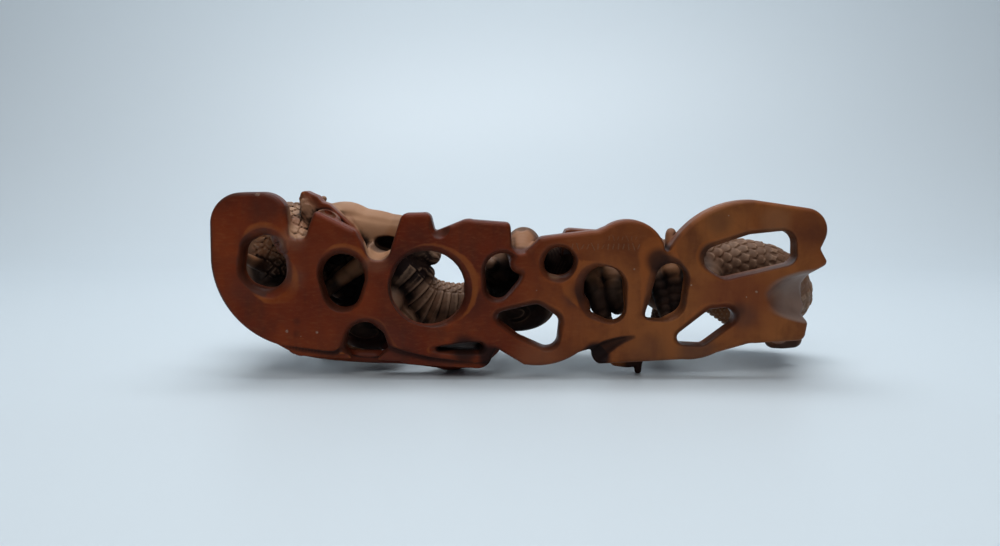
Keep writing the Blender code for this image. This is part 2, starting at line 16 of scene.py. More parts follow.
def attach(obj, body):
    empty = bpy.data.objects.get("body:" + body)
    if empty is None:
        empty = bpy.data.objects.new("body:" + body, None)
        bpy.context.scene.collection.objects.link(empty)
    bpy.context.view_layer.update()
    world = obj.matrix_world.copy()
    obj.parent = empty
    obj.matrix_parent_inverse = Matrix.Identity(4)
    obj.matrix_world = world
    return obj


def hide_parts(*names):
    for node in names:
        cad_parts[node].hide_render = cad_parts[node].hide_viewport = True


BEGUN = time.time()
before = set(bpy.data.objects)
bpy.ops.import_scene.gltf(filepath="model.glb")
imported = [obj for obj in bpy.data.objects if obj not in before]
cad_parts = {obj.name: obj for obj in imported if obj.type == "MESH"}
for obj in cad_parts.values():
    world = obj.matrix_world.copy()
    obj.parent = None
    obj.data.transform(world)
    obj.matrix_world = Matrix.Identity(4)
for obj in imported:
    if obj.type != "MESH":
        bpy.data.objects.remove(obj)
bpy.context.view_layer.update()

# design frame to row frame, mm
SHIFT = np.array([-4.5183, -39.0030, 0.0])
GRID = 0.46
TRIANGLES = 760000
PIECES = ("carving_left", "carving_mid_left", "carving_mid_right", "carving_right")
LOW, HIGH = (-134.5, -2.2, -2.2), (142.5, 80.5, 83.0)
F32 = np.float32

# ---------------------------------------------------------------- sizes shared with the solid
BASE_THICK = 11.0
EDGE_ROUND = 2.4

RIM = [
    ("left_lobe", -116.9, 66.6, 13.6, 178, 92),
    ("left_lobe_end", -108.6, 68.6, 11.7, 90, 30),
    ("notch1", -93.4, 63.9, 3.7, 197, 335),
    ("tip2", -85.4, 70.6, 1.5, 150, 60),
    ("lobe2_end", -71.3, 61.9, 2.9, 60, 22),
    ("notch2", -59.6, 56.8, 5.1, 198, 345),
    ("lobe3_left", -46.8, 67.9, 3.6, 160, 82),
    ("lobe3_right", -40.0, 68.6, 3.1, 82, 6),
    ("notch3", -35.0, 64.9, 0.9, 190, 285),
    ("lobe4_left", -21.4, 61.9, 7.0, 118, 72),
    ("lobe4_right", -5.6, 65.3, 2.2, 92, 0),
    ("notch4", 0.7, 58.7, 4.1, 205, 300),
    ("lobe5_left", 10.7, 58.0, 3.5, 125, 95),
    ("lobe5_step", 31.8, 70.3, 6.3, 262, 300),
    ("lobe5_top", 46.4, 52.4, 16.3, 125, 22),
    ("notch5", 62.8, 56.4, 0.9, 200, 340),
    ("lobe6_top", 98.0, 38.0, 39.0, 150, 88),
    ("lobe6_right", 120.8, 64.1, 9.6, 82, -22),
    ("nick", 130.8, 57.0, 2.9, 190, 215),
    ("point", 128.6, 50.9, 2.1, 15, -60),
    ("waist", 134.5, 38.4, 11.6, 128, 215),
    ("tail_lobe", 119.3, 24.4, 4.3, 45, 0),
    ("tail_lobe_low", 119.7, 20.0, 3.2, -10, -85),
    ("belly_right", 100.5, 4.7, 11.0, 85, 112),
    ("belly", 72.6, 34.7, 26.2, -62, -95),
    ("low_lobe", 35.4, 10.3, 3.6, -90, -190),
    ("lobe_meet", 30.3, 11.9, 1.0, 10, 100),
    ("mid_lobe", 8.0, 36.0, 30.1, -54, -99),
    ("mid_lobe_left", 3.6, 9.2, 3.2, -110, -135),
    ("strap_meet", -9.3, 11.9, 1.2, 60, 150),
    ("strap_end", -17.6, 10.8, 6.2, -10, -95),
    ("strap_low", -46.5, 13.9, 7.5, -95, -125),
    ("heel", -93.4, 15.1, 5.1, -80, -130),
    ("left_low", -91.5, 52.6, 39.3, -108, -178),
]

# Holes through the base, each the hull of a few circles (x, z, radius): the throat, then the wider mouth at the face
HOLES = [
    ("eye_left", [(-107.7, 53.9, 8.1), (-107.4, 47.0, 8.1), (-110.0, 47.8, 8.1), (-111.5, 54.7, 5.6)],
     [(-107.5, 56.0, 10.5), (-105.3, 45.0, 10.6), (-110.3, 48.4, 9.3)]),
    ("eye_small", [(-75.4, 44.4, 9.6), (-75.5, 37.9, 7.6)], [(-74.4, 46.7, 11.2), (-74.6, 38.2, 8.9)]),
    ("eye_round", [(-39.3, 39.0, 16.3)], [(-38.0, 41.0, 17.4), (-35.5, 40.0, 17.0)]),
    ("egg", [(-6.7, 46.5, 7.8), (-9.0, 39.5, 5.2)], [(-6.7, 47.0, 9.3), (-9.3, 40.0, 6.4)]),
    ("egg_high", [(17.5, 50.6, 6.3), (15.8, 49.6, 5.0)], [(16.6, 50.2, 8.4)]),
    ("pear", [(36.7, 40.1, 8.6), (40.3, 30.5, 5.8), (34.6, 34.0, 6.5)],
     [(31.8, 40.7, 10.2), (36.9, 39.9, 9.3), (38.7, 31.3, 6.8), (33.6, 33.0, 7.2)]),
    ("shell", [(-6.3, 26.6, 2.6), (7.1, 27.0, 5.2), (12.7, 23.9, 4.7), (12.0, 18.2, 4.8), (2.8, 22.8, 5.2)],
     [(-7.6, 27.6, 3.8), (6.9, 28.3, 6.8), (13.3, 25.3, 6.4), (12.2, 18.3, 6.0), (1.8, 22.7, 5.5)]),
    ("leaf", [(65.4, 43.5, 6.4), (63.9, 34.0, 6.9), (61.0, 29.6, 4.3), (56.7, 27.9, 2.2)],
     [(60.8, 50.4, 6.6), (65.2, 43.3, 7.2), (62.5, 33.9, 8.5), (55.6, 29.6, 3.6)]),
    ("long_eye", [(84.9, 51.7, 5.6), (88.8, 49.6, 5.8), (99.7, 55.6, 6.8), (112.0, 58.1, 5.6), (113.5, 53.6, 4.2)],
     [(82.6, 53.0, 7.0), (87.9, 50.1, 7.0), (98.2, 56.4, 8.0), (110.4, 58.6, 6.7), (112.2, 54.2, 5.3)]),
    ("diamond", [(71.2, 17.8, 2.8), (78.5, 18.2, 3.5), (88.6, 26.6, 4.1), (83.9, 25.7, 4.5)],
     [(69.2, 18.8, 3.8), (77.3, 19.2, 4.7), (88.6, 28.1, 5.5), (81.8, 27.0, 6.0)]),
    ("arch", [(-66.0, 15.8, 8.7), (-73.6, 13.5, 1.5), (-58.0, 13.8, 1.6)],
     [(-65.2, 17.5, 9.8), (-76.0, 13.2, 1.7), (-54.2, 13.2, 1.7)]),
    ("slot", [(-17.5, 13.8, 1.9), (-24.5, 14.1, 1.5), (-34.0, 13.2, 0.7)], [(-16.5, 13.8, 3.1), (-25.1, 13.4, 2.8), (-37.1, 13.2, 1.2)]),
]
THROAT = 5.0  # how deep the mouth narrows to the throat

# Grooves cut into the face: name, then (x, y, z, radius)
GROOVES = [
    ("crescent", [(49.0, 0.0, 18.7, 0.5), (43.4, 0.0, 17.1, 1.5), (37.4, 0.0, 14.2, 2.8), (33.4, -0.5, 11.2, 3.4), (29.5, 0.0, 9.0, 4.0)]),
    ("strap_line", [(-79.0, 0.2, 10.6, 0.4), (-66.0, 0.0, 10.3, 0.8), (-54.0, 0.0, 9.4, 0.9), (-43.0, 0.2, 8.4, 0.4)]),
]

# The strap along the foot lies a little behind the face: its upper edge, x and z
STRAP_SEAM = [(-102, -2), (-100, 14.0), (-90, 12.4), (-80, 11.0), (-76, 11.4), (-58, 11.6), (-54.8, 12.8), (-47.3, 10.7), (-37.8, 8.6),
              (-27, 7.5), (-20, 7.4), (-12, 8.4), (-9, -2)]
STRAP_SET_BACK = 1.6
SEAMS = [
    ("seam_left", [(-100.5, 0.4, 14.6, 0.4), (-90, 0.6, 12.7, 0.8), (-80, 0.6, 11.5, 0.9), (-76.8, 0.6, 12.8, 0.7)]),
    ("seam_right", [(-55.6, 0.6, 14.0, 0.9), (-53.5, 0.8, 12.9, 1.2), (-47.3, 0.8, 11.0, 1.2), (-37.8, 0.8, 8.9, 1.1), (-27, 0.6, 7.7, 0.8), (-20, 0.4, 7.7, 0.4)]),
]

# Flat upstanding pieces: name, front and back, rounding, outline in x and z
PLATES = [
    ("crest", 15.0, 25.0, 0.7, [(-94.7, 72.0), (-94.6, 80.0), (-93.2, 80.5), (-88.0, 78.2), (-85.9, 75.7), (-82.8, 74.7), (-78.5, 70.8), (-74.6, 66.8), (-71.6, 62.8), (-69.5, 57.0), (-76.5, 60.0), (-78.6, 66.4), (-81.6, 68.8), (-84.2, 71.2), (-88.0, 72.2), (-91.7, 70.0)]),
    ("back_slab", 15.0, 27.0, 1.0, [(19.0, 52.0), (20.0, 61.2), (21.0, 63.3), (23.2, 63.9), (32.2, 63.2), (39.0, 62.8), (40.0, 52.0)]),
]

BODY = [(-72, 45, 45, 10.5), (-57, 39, 42, 11), (-43, 44, 27, 11.5), (-22, 48, 23, 12.5), (0, 50, 32, 13.5),
        (22, 50, 45, 13.5), (46, 47, 47, 13), (70, 45, 44, 12.5), (92, 45, 44.5, 12.6), (112, 45, 43.6, 12.2),
        (125, 44, 39, 11), (131, 46, 30, 9.2), (127, 51, 21.5, 7.8), (115, 57, 18.5, 6.8), (104, 60, 21.5, 6.0),
        (94, 62, 28, 5.2), (88, 64, 38, 4.4), (83, 66, 46, 3.6)]
NECK = [(-72, 45, 45, 10.5), (-90, 45, 43, 11), (-108, 38, 46, 13.5), (-109, 37, 57, 12.5), (-101, 47, 63, 10.5),
        (-98, 58, 62, 8.8), (-104, 64, 56, 8.2)]

# Rounded limbs: name, finish, softness of the join, (x, y, z, radius)
LIMBS = [
    ("saddle_1", "plates", 2.5, [(-93.5, 4.5, 55.2, 5.0), (-98, 14, 60, 8.5), (-102, 28, 64.5, 10.5)]),
    ("saddle_2", "smooth", 2.5, [(-59.6, 4.5, 46.4, 5.2), (-61, 15, 50, 7.0), (-63, 28, 50, 9.0)]),
    ("saddle_4", "smooth", 1.5, [(0.7, 4.5, 50.0, 4.6), (1.5, 12, 54.5, 6.5), (2.5, 22, 57.0, 7.4), (2.0, 34, 50, 8.0)]),
    ("crest_root", "smooth", 1.5, [(-88, 21, 71, 3.0), (-84, 27, 68, 5.0), (-82, 36, 64, 7.0)]),
    ("crest_stub", "rough", 0.8, [(-93.2, 15.5, 78.6, 1.7), (-92.6, 14.8, 75, 2.7), (-91.5, 14.5, 71.0, 3.2), (-91, 18, 66, 4.0)]),
    ("scroll", "smooth", 1.6, [(-84, 36, 65.0, 9.5), (-78, 34.5, 64.8, 10.4), (-71, 34, 62.6, 9.8), (-60, 34, 60.8, 8.8), (-53, 34, 60.3, 7.0)]),
    ("bump_5", "smooth", 0.8, [(66.4, 10, 54, 3.0), (66.6, 13, 60.5, 2.6), (66.8, 14.5, 62.2, 2.2)]),
    ("tuft_1", "hair", 1.0, [(-54, 38, 54, 7.0), (-46, 38, 53, 5.4), (-40.2, 38, 50.3, 4.4)]),
    ("tuft_2", "hair", 1.0, [(-54, 38, 44, 7.0), (-47, 38, 43.5, 4.8), (-42.6, 38, 41.4, 3.8)]),
    ("tuft_3", "hair", 1.0, [(-56, 38, 39, 7.0), (-49, 38, 38, 4.8), (-44.4, 38, 36.0, 3.6)]),
    ("whisker_low", "smooth", 0.8, [(-60, 33, 33.0, 2.0), (-53, 32, 33.8, 1.6), (-46, 34, 31.0, 1.0)]),
    ("fore_left", "smooth", 1.2, [(-60, 40, 54, 8.0), (-67, 31, 50, 5.2), (-76, 27.5, 43.6, 3.9), (-84, 26, 37.8, 3.4), (-90, 25, 33.5, 3.8), (-97, 22, 27, 4.6), (-103, 14, 26, 5.0)]),
    ("fore_left_toe", "claw", 1.0, [(-93, 24, 27, 4.2), (-97, 16, 18, 3.4), (-96, 10, 14, 2.8)]),
    ("fore_right", "scaled", 1.6, [(-58, 44, 34, 9.0), (-58, 52, 19, 6.4), (-68, 56, 9, 5.2), (-80, 56, 5.0, 4.4), (-90, 54, 3.4, 3.6)]),
    ("fore_right_toe_1", "claw", 1.0, [(-80, 56, 5.0, 3.8), (-87, 60, 4.2, 3.0), (-94, 62, 2.4, 2.0)]),
    ("fore_right_toe_2", "claw", 1.0, [(-80, 56, 5.0, 3.8), (-86, 50, 4.0, 3.0), (-92, 46, 2.4, 2.0)]),
    ("hind_left", "scaled", 2.0, [(48, 48, 50, 11.0), (54, 37, 53, 7.0), (46, 31, 48, 6.0), (38, 28, 44, 6.0)]),
    ("toe_1", "claw", 0.7, [(31.5, 28, 42.5, 4.6), (32.9, 24.5, 40.5, 5.0), (35.5, 22, 33, 4.4), (39.5, 20, 22, 3.0)]),
    ("toe_2", "claw", 0.7, [(42.0, 28, 43.5, 4.8), (42.4, 24.5, 41.0, 5.3), (43.0, 22, 34, 4.6), (45.0, 22, 28.5, 3.4)]),
    ("toe_3", "claw", 0.7, [(50, 28, 41, 4.4), (50, 25, 36, 4.2), (49, 24, 31, 3.2)]),
    ("hind_right", "scaled", 2.0, [(80, 47, 42, 10.5), (76, 36, 50, 6.5), (70, 30, 47, 5.4)]),
    ("finger_1", "claw", 0.7, [(62, 29, 46, 4.2), (63.5, 25.5, 40, 3.8), (65.2, 22, 31, 3.2), (66.5, 19, 24, 2.4)]),
    ("finger_2", "claw", 0.7, [(68.5, 29, 47.5, 4.0), (69.0, 25, 44, 3.9), (70, 23, 36, 3.6), (70.5, 20, 28, 2.8)]),
    ("finger_3", "claw", 0.7, [(74.5, 29, 45, 4.0), (75.2, 26, 40, 3.8), (75, 23, 32, 3.4), (74, 20, 25.5, 2.6)]),
    ("hind_support", "scaled", 1.8, [(80, 49, 38, 8.0), (74, 58, 24, 5.6), (71, 60, 10, 4.8), (69, 60, 2.6, 4.2)]),
    ("hind_support_toe_1", "claw", 1.0, [(71, 60, 10, 3.8), (63, 62, 4.6, 3.0), (57, 63, 2.0, 2.0)]),
    ("hind_support_toe_2", "claw", 1.0, [(71, 60, 10, 3.8), (67, 68, 4.6, 3.0), (64, 72, 2.0, 2.0)]),
    ("root_a", "smooth", 2.5, [(5, 8, 48, 5.0), (4, 24, 46, 4.6), (3, 38, 42, 7.0)]),
    ("root_b", "smooth", 2.5, [(26, 8, 31, 5.0), (23, 24, 33, 4.6), (20, 38, 38, 8.0)]),
    ("root_c", "smooth", 2.5, [(52, 8, 36, 5.0), (55, 22, 41, 4.6), (56, 36, 42, 8.0)]),
    ("root_d", "smooth", 2.5, [(82, 8, 37, 5.5), (85, 22, 37, 5.0), (88, 36, 42, 8.0)]),
    ("root_e", "smooth", 2.5, [(-58, 8, 26, 5.5), (-58, 22, 28, 5.0), (-58, 36, 33, 8.0)]),
    ("root_f", "smooth", 2.5, [(113, 8, 33, 8.0), (119, 22, 36, 7.5), (124, 38, 37, 8.5)]),
    ("root_g", "smooth", 2.5, [(-112, 8, 29, 6.5), (-111, 22, 30, 7.5), (-109, 36, 36, 10)]),
    ("root_h", "smooth", 2.0, [(-19, 8, 39, 4.4), (-18, 20, 35, 4.4), (-17, 36, 30, 7.0)]),
    ("root_low", "smooth", 2.0, [(-14, 8, 19, 5.0), (-12, 22, 19, 5.0), (-6, 38, 25, 8.5)]),
    ("root_tail", "smooth", 2.0, [(112, 8, 20, 5.0), (118, 22, 16, 4.6), (124, 34, 14, 4.2), (127, 46, 20, 5.0)]),
    ("tail_claw", "smooth", 1.5, [(117.5, 27, 12.6, 4.2), (122, 28, 12.4, 4.4), (126.5, 28, 12.6, 4.2)]),
    ("band", "smooth", 1.6, [(-97, 10, 13.5, 4.4), (-87, 12, 10.6, 3.8), (-76, 12, 8.6, 3.0), (-64, 12, 7.8, 2.9), (-53, 12, 7.8, 3.2), (-42, 12, 7.6, 4.0), (-30, 14, 7.4, 5.6), (-19, 14, 8.8, 5.6), (-13, 12, 12.0, 4.6), (-10, 9, 17, 4.6)]),
    ("band_foot", "smooth", 1.6, [(-32, 17, 6.4, 5.8), (-28, 22, 5.2, 5.6)]),
    ("peg_root", "smooth", 1.0, [(43.5, 12, 6.8, 3.4), (49, 13, 5.8, 3.2), (52.5, 13, 7, 3.2)]),
    ("peg", "smooth", 0.8, [(53.0, 13, 6.0, 2.1), (53.2, 13, 2.2, 1.6), (53.2, 13, 1.3, 1.5)]),
    ("peg_left", "smooth", 0.8, [(-121.0, 16, 51.6, 2.2), (-118.0, 21, 48.6, 2.7), (-114.0, 29, 45.0, 2.8)]),
]

# Rounded masses: name, finish, softness, centre, half sizes, turn about y
MASSES = [
    ("lens_pad", "smooth", 0.8, (-82.4, 12.5, 69.0), (5.6, 5.5, 3.0), 24),
    ("knob_2", "smooth", 0.8, (-85.5, 31, 51.0), (2.6, 4, 2.8), 0),
    ("knob_4", "smooth", 0.8, (-12, 27, 47), (3.2, 4.5, 3.4), 0),
    ("lump_3", "smooth", 1.0, (-27.4, 34, 38.2), (3.5, 5, 3.4), 0),
    ("wedge_5", "hair", 1.5, (17.5, 30, 50.0), (8.5, 8, 10.0), 0),
    ("cloud_1", "cloud", 2.0, (-78, 42, 36), (17, 12, 15), 0),
    ("cloud_2", "hair", 2.0, (-57, 41, 46), (13, 11, 14), 0),
    ("cloud_3", "cloud", 2.0, (-66, 33, 19), (20, 14, 12.5), 0),
    ("cloud_4", "cloud", 2.0, (-5, 41, 44), (14, 13, 14), 0),
    ("cloud_5", "cloud", 2.0, (0, 37, 27.0), (18, 13, 12.5), 0),
    ("cloud_6", "cloud", 2.0, (38, 42, 40), (17, 12, 16), 0),
    ("cloud_7", "cloud", 2.0, (70, 41, 38), (13, 11, 15), 0),
    ("cloud_8", "cloud", 2.0, (-34, 46, 21), (18, 13, 11), 0),
    ("haunch", "skin", 3.0, (50, 50, 50), (15, 13, 12), 20),
    ("shoulder", "skin", 3.0, (-60, 46, 50), (11, 10, 10), -20),
    ("waist_block", "smooth", 3.0, (113, 15, 33), (10.5, 13, 14), 0),
    ("root_mass", "smooth", 3.0, (-112, 20, 27), (11, 12, 10.5), 0),
    ("root_left", "smooth", 3.0, (-119, 34, 47), (10.5, 8, 16), 0),
]
WAIST_SCOOP = ((140.0, -7.0, 36.0), (38.0, 19.0, 13.0))
SPINES = 22
SPINE_HEIGHT = 5.2

# Places on the wood: centre in x, y, z, full within, gone beyond, share
# Paler bare wood, and painted light on the scroll top, the notch floors and lower hole walls that face the lamp above
BARE_AND_LIT = [
    ((-94.5, 5.0, 61.0), 4.5, 9.0, 0.8),
    ((-59.8, 3.5, 51.0), 4.0, 7.5, 0.85),
    ((-60.2, 9.0, 53.5), 7.5, 10.0, 0.85),
    ((14.5, 5.0, 43.0), 2.5, 5.0, 0.6),
    ((-97.0, 14.0, 68.0), 8.0, 13.0, 0.6),
    ((-82.5, 9.0, 72.0), 2.5, 4.5, 0.6),
    ((-34.2, 0.0, 67.5), 1.5, 4.0, 0.5),
    ((1.3, 9.0, 62.5), 6.0, 9.0, 0.9),
    ((66.6, 12.0, 60.5), 2.5, 5.0, 0.5),
    ((-80.0, 30.0, 70.0), 9.0, 13.0, 0.75),
    ((-66.0, 31.0, 66.0), 9.0, 13.0, 0.85),
    ((-54.0, 31.0, 64.0), 7.0, 11.0, 0.6),
]
# Spots of painted shade: in recesses, on the upper walls of the hole mouths, inside the holes and under parts near the
# floor
SHADE_SPOTS = [
    ((33.0, 0.5, 10.2), 4.8, 7.6, 1.0),
    ((-7.0, 27.0, 40.0), 7.0, 11.0, 0.85),
    ((17.5, 24.0, 50.0), 6.0, 10.0, 0.85),
    ((38.0, 24.0, 30.0), 7.0, 13.0, 0.85),
    ((68.0, 24.0, 32.0), 8.0, 14.0, 0.85),
    ((70.0, 58.0, 10.0), 9.0, 17.0, 0.9),
    ((-112.0, 24.0, 42.0), 7.0, 12.0, 0.85),
    ((59.0, 2.5, 51.5), 3.5, 7.5, 0.8),
    ((80.0, 4.0, 54.0), 3.5, 8.0, 0.55),
    ((-52.0, 4.5, 52.5), 3.5, 8.5, 0.6),
    ((-46.0, 5.0, 57.0), 2.0, 6.0, 0.5),
    ((26.0, 4.0, 38.0), 3.0, 7.0, 0.5),
    ((-115.0, 4.0, 58.0), 3.0, 7.5, 0.5),
    ((-94.6, 0.0, 25.5), 0.4, 2.6, 0.35),
    ((-94.9, 0.0, 20.0), 0.4, 2.6, 0.35),
    ((-61.5, 24.0, 53.0), 3.0, 8.0, 0.8),
    ((93.0, 2.0, 30.5), 1.5, 5.5, 0.45),
    ((53.0, 12.0, 4.5), 5.0, 9.0, 0.9),
    ((122.0, 28.0, 12.0), 6.0, 10.0, 0.75),
    ((-26.0, 8.0, 12.0), 3.0, 9.0, 0.55),
    ((-13.0, 10.0, 11.0), 4.0, 9.0, 0.6),
    ((-50.0, 36.0, 47.0), 10.0, 14.0, 1.0),
    ((-23.0, 1.0, 13.5), 3.5, 8.5, 0.85),
    ((-12.5, 3.0, 10.5), 4.0, 7.0, 0.95),
    ((-36.0, 0.5, 9.2), 0.8, 4.0, 0.5),
    ((-48.0, 0.5, 11.2), 0.8, 4.5, 0.6),
    ((-54.0, 34.0, 34.0), 6.0, 11.0, 0.7),
    ((2.0, 27.0, 24.0), 9.0, 16.0, 0.95),
    ((80.0, 30.0, 50.0), 6.0, 12.0, 0.7),
    ((-66.0, 26.0, 17.0), 9.0, 14.0, 0.85),
    ((-70.0, 30.0, 33.0), 8.0, 13.0, 0.8),
]
# Patches of other stain on the face: centre, full within, gone beyond, share, colour
TINTS = [
    ((-20.8, 0.0, 34.0), 3.0, 11.0, 0.75, (0.050, 0.0105, 0.0060)),
    ((-106.0, 0.0, 76.0), 4.0, 13.0, 0.55, (0.060, 0.0170, 0.0100)),
    ((-88.0, 0.0, 56.0), 4.0, 14.0, 0.45, (0.075, 0.0125, 0.0060)),
    ((92.0, 0.0, 36.0), 6.0, 24.0, 0.65, (0.120, 0.0240, 0.0110)),
    ((121.0, 0.0, 65.0), 4.0, 12.0, 0.50, (0.080, 0.0220, 0.0110)),
    ((76.0, 0.0, 12.0), 4.0, 12.0, 0.70, (0.075, 0.0360, 0.0240)),
    ((56.0, 0.0, 10.0), 4.0, 14.0, 0.45, (0.090, 0.0360, 0.0200)),
    ((8.0, 0.0, 8.0), 5.0, 14.0, 0.50, (0.190, 0.0700, 0.0350)),
    ((-116.0, 2.0, 40.0), 4.0, 10.0, 0.35, (0.055, 0.0230, 0.0170)),
    ((-96.0, 2.0, 44.0), 2.0, 8.0, 0.45, (0.110, 0.0520, 0.0360)),
    ((96.0, 1.0, 28.0), 2.0, 8.0, 0.70, (0.060, 0.0290, 0.0210)),
    ((23.0, 1.0, 36.0), 2.0, 7.0, 0.60, (0.050, 0.0210, 0.0140)),
    ((-60.0, 0.0, 8.5), 5.0, 22.0, 0.45, (0.085, 0.0330, 0.0240)),
    ((-34.0, 0.0, 5.0), 3.0, 10.0, 0.50, (0.085, 0.0260, 0.0170)),
    ((84.0, 0.0, 68.0), 2.0, 8.0, 0.60, (0.070, 0.0300, 0.0150)),
    ((108.0, 0.0, 68.0), 3.0, 9.0, 0.40, (0.260, 0.1150, 0.0500)),
]
# Warmer brown patches; the first, in the hollow under the scroll, is painted shade
WARM_AND_SHADE = [((-57.0, 29.0, 60.0), 3.5, 8.0, 0.75), ((-108.0, 22.0, 55.0), 10.0, 16.0, 0.85), ((38.0, 22.0, 43.0), 5.0, 9.0, 0.7), ((69.5, 23.0, 45.0), 3.0, 7.0, 0.7), ((-76.0, 26.0, 44.0), 5.0, 9.0, 0.7),
        ((-66.0, 33.0, 66.0), 10.0, 18.0, 0.35)]
# Spots inside the holes where light falls from above: the painted shade of enclosed places is left off there
LIT = [
    ((-112.0, 22.0, 56.0), 6.0, 14.0, 0.85),
    ((-119.0, 20.0, 51.0), 3.0, 7.0, 0.9),
    ((-79.0, 26.0, 41.5), 2.5, 5.5, 0.75),
    ((-73.5, 25.5, 46.5), 3.5, 7.0, 0.9),
    ((32.9, 22.0, 44.5), 2.5, 6.0, 0.85),
    ((42.4, 22.0, 45.0), 2.5, 6.0, 0.85),
    ((69.0, 23.0, 47.0), 2.0, 5.0, 0.8),
    ((-13.0, 23.0, 48.5), 1.5, 3.6, 0.8),
    ((-30.0, 36.0, 34.0), 7.0, 14.0, 0.7),
    ((92.0, 36.0, 54.0), 8.0, 16.0, 0.7),
    ((108.0, 36.0, 53.0), 8.0, 14.0, 0.8),
    ((17.5, 22.0, 44.0), 2.0, 5.0, 0.5),
    ((14.5, 5.0, 43.0), 3.0, 5.5, 0.9),
]
# Small light nicks and pits in the face: x, z, size
NICKS = [(73.1, 41.1, 0.55), (100.8, 38.2, 0.75), (48.8, 47.9, 0.55), (96.6, 36.0, 0.4), (-98.9, 21.2, 0.9), (-86.1, 20.7, 0.8),
         (-109.6, 79.9, 1.6), (-93.0, 19.0, 0.35), (7.5, 38.8, 0.4), (88.0, 70.5, 0.4)]
# Rows of shallow scratched strokes in the fifth lobe: first x, last x, middle z, height, spacing, depth share
STROKES = [(21.5, 51.0, 57.4, 3.2, 2.15, 1.0), (37.0, 50.5, 61.0, 2.4, 1.9, 0.7)]


# ---------------------------------------------------------------- the clay
def smin(a, b, k):
    h = np.maximum(k - np.abs(a - b), 0)
    return np.minimum(a, b) - h * h * F32(0.25 / k)


def smax(a, b, k):
    h = np.maximum(k - np.abs(a - b), 0)
    return np.maximum(a, b) + h * h * F32(0.25 / k)


class Clay:
    """A distance field on a grid, negative inside."""

    def __init__(self, low, high, step):
        self.step = step
        self.low = np.array(low, np.float64)
        self.axes = [np.arange(low[i], high[i] + step, step).astype(F32) for i in range(3)]
        self.shape = tuple(len(a) for a in self.axes)
        self.field = np.full(self.shape, 5.0, F32)

    def slices(self, low, high):
        out = []
        for i in range(3):
            a = max(0, int(math.floor((low[i] - self.low[i]) / self.step)))
            b = min(self.shape[i], int(math.ceil((high[i] - self.low[i]) / self.step)) + 1)
            if b <= a:
                return None
            out.append(slice(a, b))
        return tuple(out)

    def open_coords(self, slices):
        shapes = ((-1, 1, 1), (1, -1, 1), (1, 1, -1))
        return [self.axes[i][slices[i]].reshape(shapes[i]) for i in range(3)]

    def add(self, slices, d, k):
        self.field[slices] = smin(self.field[slices], d, k)

    def cut(self, slices, d, k):
        self.field[slices] = smax(self.field[slices], -d, k)

    def sample(self, points):
        """Trilinear values at points (n, 3)."""
        q = (points - self.low) / self.step
        i = np.clip(np.floor(q).astype(np.int64), 0, np.array(self.shape) - 2)
        t = (q - i).astype(F32)
        f = self.field
        x, y, z = i[:, 0], i[:, 1], i[:, 2]
        tx, ty, tz = t[:, 0], t[:, 1], t[:, 2]
        c00 = f[x, y, z] * (1 - tx) + f[x + 1, y, z] * tx
        c10 = f[x, y + 1, z] * (1 - tx) + f[x + 1, y + 1, z] * tx
        c01 = f[x, y, z + 1] * (1 - tx) + f[x + 1, y, z + 1] * tx
        c11 = f[x, y + 1, z + 1] * (1 - tx) + f[x + 1, y + 1, z + 1] * tx
        return (c00 * (1 - ty) + c10 * ty) * (1 - tz) + (c01 * (1 - ty) + c11 * ty) * tz

    def normals(self, points, reach):
        g = np.empty_like(points)
        for k in range(3):
            step = np.zeros(3)
            step[k] = reach
            g[:, k] = self.sample(points + step) - self.sample(points - step)
        return g / np.maximum(np.linalg.norm(g, axis=1, keepdims=True), 1e-9)


def smooth_path(points, per_span):
    rows = [np.array(p, float) for p in points]
    rows = [2 * rows[0] - rows[1]] + rows + [2 * rows[-1] - rows[-2]]
    out = []
    for i in range(1, len(rows) - 2):
        a, b, c, d = rows[i - 1 : i + 3]
        for k in range(per_span):
            t = k / per_span
            out.append(0.5 * (2 * b + (c - a) * t + (2 * a - 5 * b + 4 * c - d) * t * t + (3 * b - a - 3 * c + d) * t**3))
    out.append(rows[-2])
    return np.array(out)


def unit(v):
    return v / max(float(np.linalg.norm(v)), 1e-9)


# ---------------------------------------------------------------- relief patterns
def wobble(x, y, z, size, seed):
    """A soft uneven pattern from a few crossed waves, about -1 to 1."""
    rng = np.random.default_rng(seed)
    total = 0
    for _ in range(5):
        v = rng.normal(size=3)
        v = v / np.linalg.norm(v) * (2 * math.pi / size) * rng.uniform(0.7, 1.4)
        total = total + np.sin(x * F32(v[0]) + y * F32(v[1]) + z * F32(v[2]) + F32(rng.uniform(0, 6.28)))
    return total * F32(0.36)


def scales(u, v, lift, jitter=0.0):
    """Overlapping scales. u counts rows toward the tail, v counts scales round the body."""
    best = np.zeros_like(u)
    first = np.floor(u)
    for back in (0, 1):
        row = first - back
        along = u - row
        offset = np.mod(row, 2) * 0.5
        column = np.round(v - offset)
        across = v - offset - column
        if jitter:
            across = across + jitter * np.sin(row * 12.9 + column * 7.3)
            along = along + jitter * np.sin(row * 5.1 + column * 17.7)
        reach = np.clip(along - 0.75, 0, None) / 0.95
        edge = 1 - np.sqrt((across / 0.56) ** 2 + reach**2)
        keep = np.clip(edge / 0.13, 0, 1)
        height = lift * (0.18 + 0.55 * along - 0.6 * across**2) * keep
        best = np.maximum(best, height)
    return best


def scutes(u, across, lift):
    """Cross plates along the belly."""
    phase = np.mod(u * 0.8, 1.0)
    saw = phase * np.clip((1 - phase) / 0.14, 0, 1)
    return lift * (0.25 + saw) * np.clip((1 - np.abs(across)) / 0.12, 0, 1)


def hair(u, angle, count, lift):
    """Strands that run along a tuft."""
    wave = angle * count / (2 * math.pi) + 0.22 * np.sin(u * 1.3)
    return lift * (np.abs(np.sin(np.pi * wave)) ** 0.6 - 0.4)


